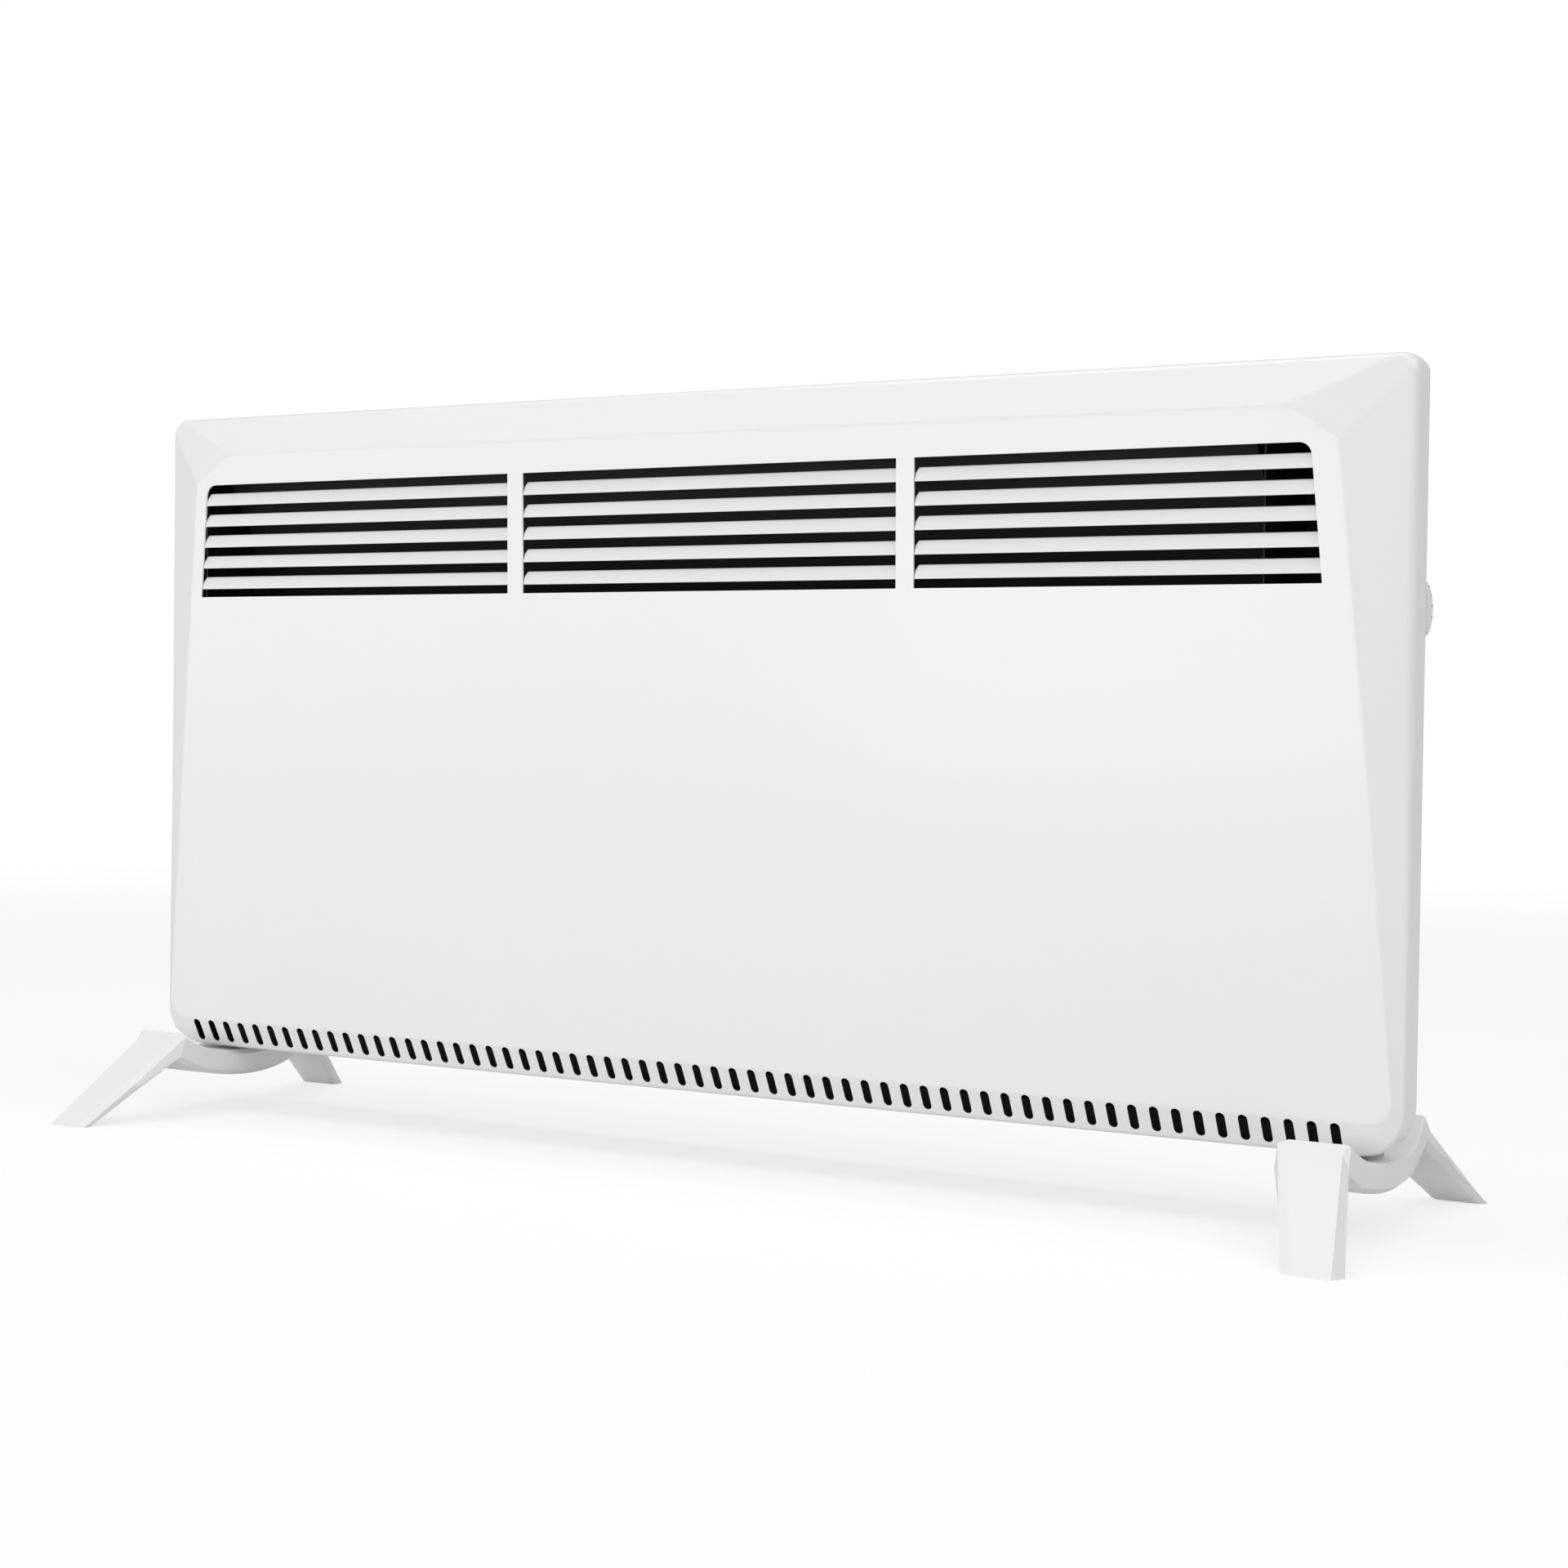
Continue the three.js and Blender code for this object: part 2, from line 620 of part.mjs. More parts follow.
function rearCover() {
  const backWall = [coverInnerBack - sheet, coverDepth + sheet];
  let body = coverForm(0).add(coverFlange()).subtract(coverForm(sheet)).subtract(coverVents());
  for (const side of [-1, 1]) {
    body = body.subtract(hangerSlot(side * hangerSpacing / 2, 0, ...backWall));
    for (const y of footScrewYs) {
      body = body.subtract(round(screwHole, alongZ, side * footScrewX(), y,
        coverLow - sheet, coverLow + 2 * sheet, 10));
    }
  }
  for (const [x, z] of coverScrewPlaces()) {
    body = body.subtract(round(screwHole, alongY, x, z, 0, 3 * sheet, 10));
  }
  const sideWall = [coverHalf - 2 * sheet, coverHalf + sheet];
  body = body.subtract(controlOutline(bezelOverlap, 2 * bezelScrewInset, ...sideWall));
  for (const z of bezelScrewHeights()) {
    body = body.subtract(round(screwHole, alongX, controlY, z, ...sideWall, 10));
  }
  return body.subtract(round(glandRadius + seatGap, alongY, glandX, glandZ, ...backWall));
}

// ---- Feet ----

function footScrewX() {
  return (hubInnerX + hubOuterX) / 2;
}

// Side view of a foot, as (y, z) points: a bowl that sags between two knees, and two slanting legs.
function footSideOutline() {
  const bowlRadius = (bowlHalf ** 2 + bowlRise ** 2) / (2 * bowlRise);
  const bowlAngle = Math.asin(bowlHalf / bowlRadius);
  const steps = 10;
  const bowl = Array.from({ length: steps + 1 }, (_, i) => {
    const angle = bowlAngle * (2 * i / steps - 1);
    return new THREE.Vector2(bowlRadius * Math.sin(angle), hubLow + bowlRadius * (1 - Math.cos(angle)));
  });
  const topSteps = 5;
  const top = Array.from({ length: topSteps }, (_, i) => {
    const share = 1 - i / topSteps;
    return [kneeY * share, hubTop + (kneeTop - hubTop) * share ** 3];
  });
  const right = [[kneeInnerY, casingLow - kneeInnerDrop], [toeInnerY, 0], [toeOuterY, 0], ...top];
  const left = right.map(([y, z]) => [-y, z]).reverse();
  return [...bowl, ...[...right, ...left].map(([y, z]) => new THREE.Vector2(y, z))];
}

// One side of the hub in plan, from knee to knee.
function hubSide(x, bulge) {
  const steps = 8;
  return Array.from({ length: steps + 1 }, (_, i) => {
    const share = 2 * i / steps - 1;
    return [x + bulge * (1 - share ** 2), kneeY * share];
  });
}

function foot(side) {
  const plan = [
    ...hubSide(hubOuterX, hubBulge), [toeOuterX, toeOuterY], [toeInnerX, toeOuterY],
    ...hubSide(hubInnerX, -hubBulge).reverse(), [toeInnerX, -toeOuterY], [toeOuterX, -toeOuterY],
  ].map(([x, y]) => new THREE.Vector2(side * x, y));
  const edges = [side * (hubInnerX - hubBulge), side * toeOuterX].sort((a, b) => a - b);
  const sideForm = raised([footSideOutline()], alongX, ...edges);
  const body = sideForm.intersect(raised([plan], alongZ, -1, kneeTop + 1));
  const bossEdges = [side * (hubInnerX + bossMargin), side * (hubOuterX - bossMargin)].sort((a, b) => a - b);
  const boss = raised([rectangle(...bossEdges, bossFront, bossFront + bossLength, 3, 2)],
    alongZ, hubTop - 2, coverLow - seatGap);
  let whole = body.add(boss);
  for (const y of footScrewYs) {
    const x = side * footScrewX();
    whole = whole.subtract(round(screwHole, alongZ, x, y, 0, coverLow, 12));
    whole = whole.subtract(round(screwHeadRadius + seatGap, alongZ, x, y, 0, footScrewSeat, 12));
  }
  return whole;
}

// A pan head screw: head on Z = 0 to its height, shank below.
function screw(length) {
  return turned([
    [0, -length], [screwRadius - screwTip, -length], [screwRadius, -length + screwTip],
    [screwRadius, 0], [screwHeadRadius, 0], [screwHeadRadius, screwHeadEdge],
    [screwHeadTop, screwHeadHeight], [0, screwHeadHeight],
  ], 12);
}

// ---- Heating elements ----

function finnedOutline() {
  const half = finThickness / 2;
  const tip = finTipThickness / 2;
  const root = Math.sqrt(elementCoreRadius ** 2 - half ** 2);
  return Array.from({ length: finCount }, (_, i) => {
    const angle = 2 * Math.PI * (i + 0.5) / finCount;
    return [[root, -half], [finRadius, -tip], [finRadius, tip], [root, half]]
      .map(([u, v]) => new THREE.Vector2(u, v).rotateAround(new THREE.Vector2(), angle));
  }).flat();
}

function finnedBar() {
  const bar = raised([finnedOutline()], alongX, elementLeftX, elementRightX);
  return bar.subtract(round(rodRadius + seatGap, alongX, 0, 0, elementLeftX - 1, elementRightX + 1, 12));
}

function elementRod() {
  const length = elementRightX - elementLeftX + 2 * rodOverhang;
  return turned([
    [0, -studLength], [studRadius, -studLength], [studRadius, 0], [rodRadius, 0],
    [rodRadius, length], [studRadius, length], [studRadius, length + studLength], [0, length + studLength],
  ], 12);
}

// Ceramic bush round the rod, its flange against the bracket.
function ceramicBush() {
  const bore = rodRadius + seatGap;
  const body = bushFlange + seatGap + bracketSheet + bushTail;
  return turned([
    [bore, 0], [bushFlangeRadius, 0], [bushFlangeRadius, bushFlange], [bushRadius, bushFlange],
    [bushRadius, body], [bore, body], [bore, 0],
  ], 16);
}

function elementBracket(side) {
  const low = elementHeights[0] - bracketMargin;
  const high = elementHeights[1] + bracketMargin;
  const edges = [0, side * bracketSheet].sort((a, b) => a - b);
  const flange = [0, side * bracketFlange].sort((a, b) => a - b);
  let body = block(...edges, elementY - bracketReach, backSeat, low, high)
    .add(block(...flange, backSeat - bracketSheet, backSeat, low, high));
  for (const z of elementHeights) {
    body = body.subtract(round(bushRadius + seatGap, alongX, elementY, z, -4, 4));
  }
  return body;
}

// A bent sheet whose section, as (y, z) points, follows a path.
function bentSheet(path, thickness, from, to) {
  const inner = path.map(([y, z]) => new THREE.Vector2(y, z));
  const outer = inner.map((p, i) => {
    const before = inner[Math.max(i - 1, 0)];
    const after = inner[Math.min(i + 1, inner.length - 1)];
    const first = (i > 0 ? p.clone().sub(before) : after.clone().sub(p)).normalize();
    const second = (i < inner.length - 1 ? after.clone().sub(p) : first.clone()).normalize();
    const middle = first.clone().add(second).normalize();
    const normal = new THREE.Vector2(-middle.y, middle.x);
    return p.clone().addScaledVector(normal, thickness / Math.max(middle.dot(first), 0.3));
  });
  return raised([[...inner, ...outer.reverse()]], alongX, from, to);
}

function heatShield() {
  const left = elementLeftX - bracketOffset + shieldEnd;
  const right = elementRightX + bracketOffset - shieldEnd;
  return bentSheet([
    [backSeat, shieldLow], [shieldFrontY, shieldLow], [shieldFrontY, shieldTop], [backSeat, shieldTop],
  ].reverse(), innerSheet, left, right);
}

function airDeflector() {
  return bentSheet([
    [backSeat, deflectorLow], [backSeat, deflectorBend], [innerFront, upperCrease + deflectorTopRise],
  ], innerSheet, deflectorEndGap - coverHalf, partitionX - deflectorPartitionGap);
}

function hangerPlate(side) {
  const x = side * hangerSpacing / 2;
  return hangerSlot(x, hangerPlateMargin, backSeat - hangerPlateSheet, backSeat)
    .subtract(hangerSlot(x, 0, backSeat - 2 * hangerPlateSheet, backSeat + 1));
}

function cutoutBracket() {
  const half = cutoutPlate / 2;
  const wallY = shieldFrontY - seatGap;
  const low = cutoutZ - half;
  return bentSheet([
    [wallY - cutoutStandOff, cutoutZ + half], [wallY - cutoutStandOff, low],
    [wallY - innerSheet, low], [wallY - innerSheet, low - half],
  ], innerSheet, cutoutX - half, cutoutX + half);
}

function thermalCutout() {
  return turned([
    [0, 0], [cutoutRadius, 0], [cutoutRadius, cutoutShoulder],
    [cutoutCapRadius, cutoutHeight], [0, cutoutHeight],
  ], 16);
}

function controlPartition() {
  const wall = block(partitionX, partitionX + innerSheet, innerFront, backSeat,
    partitionLow, partitionTop);
  const flange = block(partitionX - partitionFlange, partitionX, backSeat - innerSheet, backSeat,
    partitionLow, partitionTop);
  let body = wall.add(flange);
  for (const z of elementHeights) {
    body = body.subtract(round(leadHoleRadius, alongX, elementY, z, partitionX - 2, partitionX + 3));
  }
  return body;
}

// ---- Controls ----

function switchSize(extra) {
  return [keyWidth / 2 + keyClearance + extra, keyRadius + keyClearance + extra];
}

function switchHole(z, extra, from, to) {
  const [halfWidth, halfLength] = switchSize(extra);
  return block(from, to, controlY - halfWidth, controlY + halfWidth, z - halfLength, z + halfLength);
}

function controlBezel() {
  const through = [bezelBack - 1, bezelFace + 1];
  let body = controlOutline(0, 0, bezelBack, bezelFace);
  body = body.subtract(round(shaftRadius + shaftClearance, alongX, controlY, knobZ, ...through));
  body = body.subtract(round(lampRadius + seatGap, alongX, controlY, lampZ, ...through, 12));
  for (const z of rockerHeights) {
    body = body.subtract(switchHole(z, switchWall + seatGap, ...through));
  }
  for (const z of bezelScrewHeights()) {
    body = body.subtract(round(screwHole, alongX, controlY, z, ...through, 12));
    body = body.subtract(round(screwHeadRadius + seatGap, alongX, controlY, z,
      bezelFace - screwHeadHeight, bezelFace + 1, 12));
  }
  return body;
}

// A hollow switch body with a frame in front and sockets for the key's pins.
function switchBody(z) {
  const frameBack = bezelFace + seatGap;
  const frameFront = frameBack + switchFrame;
  const pivotX = bezelFace - pivotDepth;
  const cavityBack = pivotX - keyRadius - keyClearance;
  let body = switchHole(z, switchWall, bezelFace - switchDepth, frameBack)
    .add(switchHole(z, switchWall + 2 * switchFrame, frameBack, frameFront))
    .subtract(switchHole(z, 0, cavityBack, frameFront + 1));
  const reach = keyWidth / 2 + keyPinLength + 2 * keyClearance;
  return body.subtract(round(keyPinRadius + keyClearance, alongY, pivotX, z,
    controlY - reach, controlY + reach, 12));
}

// Rocker key about its own pivot at the origin, seen from the side as (x, z).
function rockerKey() {
  const profile = [
    [keyTip, -keyHalf], [keyDip, 0], [keyTip, keyHalf],
    [0, keyHeel], [-keyBack, keyBackHalf], [-keyBack, -keyBackHalf], [0, -keyHeel],
  ].map(([x, z]) => new THREE.Vector2(x, z));
  const half = keyWidth / 2;
  return raised([profile], alongY, -half, half)
    .add(round(keyPinRadius, alongY, 0, 0, -half - keyPinLength, half + keyPinLength, 10));
}

// Knob about its own axis: base on Z = 0, grip bar on top, blind bore from below.
function thermostatKnob() {
  const cap = turned([
    [0, 0], [knobSkirtRadius, 0], [knobSkirtRadius, knobSkirt], [knobRadius, knobSkirt],
    [knobRadius, knobHeight - knobGripHeight - knobEdge],
    [knobRadius - knobEdge, knobHeight - knobGripHeight], [0, knobHeight - knobGripHeight],
  ], 32);
  const grip = raised([rectangle(-knobGripWidth / 2, knobGripWidth / 2, -knobGripHalf, knobGripHalf,
    (knobGripWidth - knobGripFlat) / 2, 3)], alongZ, knobHeight - knobGripHeight - 1, knobHeight);
  return cap.add(grip).subtract(round(shaftRadius + seatGap, alongZ, 0, 0, -1, shaftInKnob, 12));
}

function thermostatBody() {
  const halfWidth = bezelWidth / 2 - bezelOverlap - thermostatSideGap;
  const front = bezelBack - seatGap;
  return block(front - thermostatDepth, front, controlY - halfWidth, controlY + halfWidth,
    knobZ - thermostatHeight / 2, knobZ + thermostatHeight / 2)
    .subtract(round(shaftRadius + shaftClearance, alongX, controlY, knobZ,
      front - shaftInBody - seatGap, front + 1));
}

function indicatorLamp() {
  return turned([
    [0, -lampBody], [lampRadius, -lampBody], [lampRadius, 0],
    [lampShoulderRadius, lampShoulder], [0, lampDome],
  ], 12);
}

// ---- Terminal block, tilt switch, cord gland and leads ----

function terminalBlock() {
  const [width, depth, height] = terminalSize;
  let body = block(terminalX - width / 2, terminalX + width / 2, backSeat - depth, backSeat,
    terminalZ - height / 2, terminalZ + height / 2);
  for (const i of [-1, 0, 1]) {
    body = body.subtract(round(terminalHoleRadius, alongY, terminalX + i * terminalHoleSpacing, terminalZ,
      backSeat - depth - 1, backSeat - depth + terminalHoleDepth, 10));
  }
  return body;
}

function tiltSwitch() {
  const [width, depth, height] = tiltSize;
  return block(tiltX - width / 2, tiltX + width / 2, backSeat - depth, backSeat,
    tiltZ - height / 2, tiltZ + height / 2);
}

// Gland about its own axis: flange on the cover's back, open bore for a cord.
function cordGland() {
  return turned([
    [glandBore, -glandIn], [glandRadius, -glandIn], [glandRadius, seatGap],
    [glandFlangeRadius, seatGap], [glandFlangeRadius, seatGap + glandFlange], [glandNoseRadius, glandOut],
    [glandBore, glandOut], [glandBore, -glandIn],
  ], 20);
}

// A lead whose ends run straight: out of its start, and into its end.
function lead(start, outOf, middle, end, into) {
  const toPoint = ([x, y, z]) => new THREE.Vector3(x, y, z);
  const straight = [leadRadius * 2, leadRadius];
  const path = new THREE.CatmullRomCurve3([
    toPoint(start),
    ...straight.toReversed().map((d) => toPoint(start).addScaledVector(toPoint(outOf), d)),
    ...middle.map(toPoint),
    ...straight.map((d) => toPoint(end).addScaledVector(toPoint(into), -d)),
    toPoint(end),
  ]);
  const section = new THREE.Shape(circle(0, 0, leadRadius, leadSides));
  const steps = Math.ceil(path.getLength() / (5 * leadRadius));
  return solid(new THREE.ExtrudeGeometry(section, { extrudePath: path, steps, bevelEnabled: false }));
}

// From the end of a rod, through the partition, to the back of its switch.
function elementLead(index) {
  const rodEnd = elementRightX + rodOverhang + studLength + seatGap;
  const switchBack = bezelFace - switchDepth - seatGap;
  const z = elementHeights[index];
  const keyZ = rockerHeights[1 - index];
  const across = controlY - leadSpread;
  const riseX = partitionX + leadRises[index];
  return lead([rodEnd, elementY, z], [1, 0, 0], [
    [partitionX + leadThrough, elementY, z], [riseX, (elementY + across) / 2, z + leadBend],
    [riseX, across, z + 2 * leadBend], [riseX, across, keyZ - 2 * leadBend],
    [riseX + leadBend / 2, across, keyZ - leadBend / 2],
  ], [switchBack, across, keyZ], [1, 0, 0]);
}

function supplyLead() {
  const thermostatBack = bezelBack - seatGap - thermostatDepth - seatGap;
  const holeX = terminalX + terminalHoleSpacing;
  const holeEnd = backSeat - terminalSize[1] + terminalHoleDepth - seatGap;
  const riseX = thermostatBack + supplyRise;
  const across = controlY + leadSpread;
  return lead([holeX, holeEnd, terminalZ], [0, -1, 0], [
    [holeX, holeEnd - leadBend, terminalZ], [riseX, across, terminalZ + leadBend],
    [riseX, across, terminalZ + 3 * leadBend], [riseX, across, knobZ - 4 * leadBend],
    [riseX - leadBend, across, knobZ - 2 * leadBend],
    [riseX - leadBend, controlY, knobZ - leadBend / 2],
  ], [thermostatBack, controlY, knobZ], [1, 0, 0]);
}

// Joins the left ends of the two rods.
function elementLink() {
  const end = elementLeftX - rodOverhang - studLength - seatGap;
  const [low, high] = elementHeights;
  return lead([end, elementY, low], [-1, 0, 0], [
    [end - linkBulge * 0.8, elementY, low + linkBulge / 2], [end - linkBulge, elementY, (low + high) / 2],
    [end - linkBulge * 0.8, elementY, high - linkBulge / 2],
  ], [end, elementY, high], [1, 0, 0]);
}

// ---- Assembly ----

const heater = new THREE.Group();

function place(group, name, body, material) {
  const mesh = new THREE.Mesh(geometryOf(body), material);
  mesh.name = name;
  group.add(mesh);
  return mesh;
}

function addCasings() {
  const group = new THREE.Group();
  place(group, 'front_casing', frontCasing(), steel);
  place(group, 'rear_cover', rearCover(), steel);
  coverScrewPlaces().forEach(([x, z], i) => {
    const mesh = place(group, `cover_screw_${i + 1}`, screw(coverScrewLength), screwSteel);
    mesh.position.set(x, 2 * seatGap + sheet, z);
    mesh.rotation.x = -Math.PI / 2;
  });
  for (const [name, side] of [['left', -1], ['right', 1]]) {
    place(group, `hanger_plate_${name}`, hangerPlate(side), galvanised);
  }
  heater.add(group);
}

function addFeet() {
  for (const [name, side] of [['left', -1], ['right', 1]]) {
    const group = new THREE.Group();
    place(group, `foot_${name}`, foot(side), plastic);
    footScrewYs.forEach((y, i) => {
      const end = i ? 'rear' : 'front';
      const mesh = place(group, `foot_screw_${name}_${end}`, screw(footScrewLength), screwSteel);
      mesh.position.set(side * footScrewX(), y, footScrewSeat - seatGap);
      mesh.rotation.x = Math.PI;
    });
    heater.add(group);
  }
}

function addHeating() {
  const group = new THREE.Group();
  const length = elementRightX - elementLeftX;
  ['lower', 'upper'].forEach((name, i) => {
    const axis = new THREE.Group();
    axis.position.set(0, elementY, elementHeights[i]);
    place(axis, `element_bar_${name}`, finnedBar(), aluminium);
    const rod = place(axis, `element_rod_${name}`, elementRod(), galvanised);
    rod.position.x = elementLeftX - rodOverhang;
    rod.rotation.y = Math.PI / 2;
    for (const [end, side] of [['left', -1], ['right', 1]]) {
      const bush = place(axis, `ceramic_bush_${name}_${end}`, ceramicBush(), ceramic);
      const barEnd = side < 0 ? elementLeftX : elementLeftX + length;
      bush.position.x = barEnd + side * (bracketOffset - bushFlange - seatGap);
      bush.rotation.y = side * Math.PI / 2;
    }
    group.add(axis);
  });
  for (const [name, side] of [['left', -1], ['right', 1]]) {
    const bracket = place(group, `element_bracket_${name}`, elementBracket(-side), galvanised);
    const barEnd = side < 0 ? elementLeftX : elementRightX;
    bracket.position.x = barEnd + side * (bracketOffset + bracketSheet);
  }
  place(group, 'element_link', elementLink(), wire);
  place(group, 'heat_shield', heatShield(), galvanised);
  place(group, 'air_deflector', airDeflector(), galvanised);
  place(group, 'cutout_bracket', cutoutBracket(), galvanised);
  const cutout = place(group, 'thermal_cutout', thermalCutout(), darkPlastic);
  cutout.position.set(cutoutX, shieldFrontY - cutoutStandOff - 2 * seatGap, cutoutZ);
  cutout.rotation.x = Math.PI / 2;
  heater.add(group);
}

function addControls() {
  const group = new THREE.Group();
  place(group, 'control_partition', controlPartition(), galvanised);
  place(group, 'control_bezel', controlBezel(), plastic);
  place(group, 'thermostat_body', thermostatBody(), darkPlastic);

  const knobAxis = new THREE.Group();
  knobAxis.position.set(bezelFace + seatGap, controlY, knobZ);
  knobAxis.rotation.y = Math.PI / 2;
  place(knobAxis, 'thermostat_knob', thermostatKnob(), plastic);
  const shaftBack = -(seatGap + bezelThickness + seatGap + shaftInBody);
  const shaft = round(shaftRadius, alongZ, 0, 0, shaftBack, shaftInKnob - seatGap, 16);
  place(knobAxis, 'thermostat_shaft', shaft, galvanised);
  group.add(knobAxis);

  ['upper', 'lower'].forEach((name, i) => {
    const z = rockerHeights[i];
    place(group, `switch_body_${name}`, switchBody(z), darkPlastic);
    const key = place(group, `rocker_key_${name}`, rockerKey(), darkPlastic);
    key.position.set(bezelFace - pivotDepth, controlY, z);
    key.rotation.y = THREE.MathUtils.degToRad(rockerTilt);
  });

  const lamp = place(group, 'indicator_lamp', indicatorLamp(), lens);
  lamp.position.set(bezelFace, controlY, lampZ);
  lamp.rotation.y = Math.PI / 2;

  bezelScrewHeights().forEach((z, i) => {
    const mesh = place(group, `bezel_screw_${i ? 'upper' : 'lower'}`, screw(bezelScrewLength), screwSteel);
    mesh.position.set(bezelFace - screwHeadHeight + seatGap, controlY, z);
    mesh.rotation.y = Math.PI / 2;
  });
  heater.add(group);
}

function addWiring() {
  const group = new THREE.Group();
  place(group, 'terminal_block', terminalBlock(), ceramic);
  place(group, 'tilt_switch', tiltSwitch(), darkPlastic);
  const gland = place(group, 'cord_gland', cordGland(), darkPlastic);
  gland.position.set(glandX, coverDepth, glandZ);
  gland.rotation.x = -Math.PI / 2;
  place(group, 'supply_lead', supplyLead(), wire);
  place(group, 'element_lead_lower', elementLead(0), wire);
  place(group, 'element_lead_upper', elementLead(1), wire);
  heater.add(group);
}

addCasings();
addFeet();
addHeating();
addControls();
addWiring();

export default heater;
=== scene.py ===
import math

import bmesh
import bpy
from mathutils import Matrix, Vector


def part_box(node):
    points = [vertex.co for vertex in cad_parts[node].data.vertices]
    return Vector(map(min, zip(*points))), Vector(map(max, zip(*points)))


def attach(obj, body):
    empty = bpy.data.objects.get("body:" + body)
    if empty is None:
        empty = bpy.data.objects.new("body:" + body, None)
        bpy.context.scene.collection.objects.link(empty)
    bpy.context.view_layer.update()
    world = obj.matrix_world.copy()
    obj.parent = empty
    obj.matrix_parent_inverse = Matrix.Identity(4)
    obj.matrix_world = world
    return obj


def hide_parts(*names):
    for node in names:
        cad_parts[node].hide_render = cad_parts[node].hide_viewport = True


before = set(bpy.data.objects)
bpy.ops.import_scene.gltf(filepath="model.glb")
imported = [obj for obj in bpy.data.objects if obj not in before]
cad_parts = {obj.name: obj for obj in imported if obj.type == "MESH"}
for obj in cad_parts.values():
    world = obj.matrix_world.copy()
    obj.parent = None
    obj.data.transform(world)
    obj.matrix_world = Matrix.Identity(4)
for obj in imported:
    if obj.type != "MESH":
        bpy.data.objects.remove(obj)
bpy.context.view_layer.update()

# Electric panel convector heater on two feet, in metres. The front faces -Y, the controls are at +X.


cameraSettings = {
    "place": (0.8334, -1.3540, 0.2654),
    "turn": 30.403,    # degrees to the left of straight ahead
    "tilt": -1.4635,
    "roll": 0.748,
    "sensor": 36,
    "lens": 62.45,
    "shiftUp": -0.0038,
    "clip": (0.05, 40),
}

studio = {
    "floorRadius": 3.2,      # here the floor has faded into the background
    "fadeStart": 0.35,       # share of the radius at which it starts to
    "floorTone": 0.74,       # as the object sees it
    "floorBounce": 0.04,     # light that the floor gives the object
    "seenTone": 0.36,        # as the camera sees it, for a fainter shadow
    "seenGlow": 0.665,
    "worldStrength": 0.52,
    "backdrop": 1.0,
    # name: place, point that it faces, direction of its height, width, height, watts
    "lamps": {
        "frontSoftbox": ((-0.2, -3.2, 0.3), (0.0, 0.0, 0.2), (0, 0, 1), 2.8, 0.6, 14.6),
        "frontLeftSoftbox": ((-1.9, -2.9, 0.55), (0.0, 0.0, 0.22), (0, 0, 1), 3.0, 1.0, 18.8),
        "sideSoftbox": ((2.3, -0.7, 2.2), (0.3, 0.0, 0.25), (0, 0, 1), 1.2, 1.2, 10.4),
        "overheadSoftbox": ((0.0, -0.2, 2.7), (0.0, 0.0, 0.2), (0, 1, 0), 2.4, 1.6, 20.4),
    },
}


def addObject(name, data):
    made = bpy.data.objects.new(name, data)
    bpy.context.scene.collection.objects.link(made)
    return made


def placeAt(made, place, right, up, back):
    made.matrix_world = Matrix.Translation(place) @ Matrix((right, up, back)).transposed().to_4x4()


def addCamera():
    turn, tilt, roll = (math.radians(cameraSettings[k]) for k in ("turn", "tilt", "roll"))
    right = Vector((math.cos(turn), math.sin(turn), 0))
    ahead = Vector((-math.sin(turn), math.cos(turn), 0))
    up = Vector((0, 0, 1))
    ahead, up = ahead * math.cos(tilt) + up * math.sin(tilt), up * math.cos(tilt) - ahead * math.sin(tilt)
    right, up = right * math.cos(roll) + up * math.sin(roll), up * math.cos(roll) - right * math.sin(roll)
    data = bpy.data.cameras.new("photoCamera")
    data.sensor_width = cameraSettings["sensor"]
    data.lens = cameraSettings["lens"]
    data.shift_y = cameraSettings["shiftUp"]
    data.clip_start, data.clip_end = cameraSettings["clip"]
    camera = addObject("photoCamera", data)
    placeAt(camera, cameraSettings["place"], right, up, -ahead)
    bpy.context.scene.camera = camera


def addLamps():
    for name, (place, aim, upward, width, height, watts) in studio["lamps"].items():
        data = bpy.data.lights.new(name, "AREA")
        data.shape = "RECTANGLE"
        data.size, data.size_y, data.energy = width, height, watts
        back = (Vector(place) - Vector(aim)).normalized()
        side = Vector(upward).cross(back).normalized()
        lamp = addObject(name, data)
        placeAt(lamp, place, side, back.cross(side), back)
        lamp.visible_camera = False


def addNode(tree, kind, inputs, **settings):
    # sets a new node, gives each input its link or value, and returns the outputs
    node = tree.nodes.new(kind)
    for label, value in settings.items():
        setattr(node, label, value)
    for label, value in inputs.items():
        if isinstance(value, bpy.types.NodeSocket):
            tree.links.new(value, node.inputs[label])
        else:
            node.inputs[label].default_value = value
    return node.outputs


def mathNode(tree, operation, *values):
    return addNode(tree, "ShaderNodeMath", dict(enumerate(values)), operation=operation)[0]


def mapped(tree, value, ends, **settings):
    # a value carried from one range to another; ends name the range's own sockets
    return addNode(tree, "ShaderNodeMapRange", {"Value": value, **ends}, **settings)[0]


def mixShaders(tree, share, first, second):
    return addNode(tree, "ShaderNodeMixShader", {0: share, 1: first, 2: second})[0]


def objectPlace(tree):
    return addNode(tree, "ShaderNodeTexCoord", {})["Object"]


def whiteRays(tree):
    # 1 for rays that show the background: straight from the camera or by transmission
    path = addNode(tree, "ShaderNodeLightPath", {})
    return mathNode(tree, "MAXIMUM", path["Is Camera Ray"], path["Is Transmission Ray"])


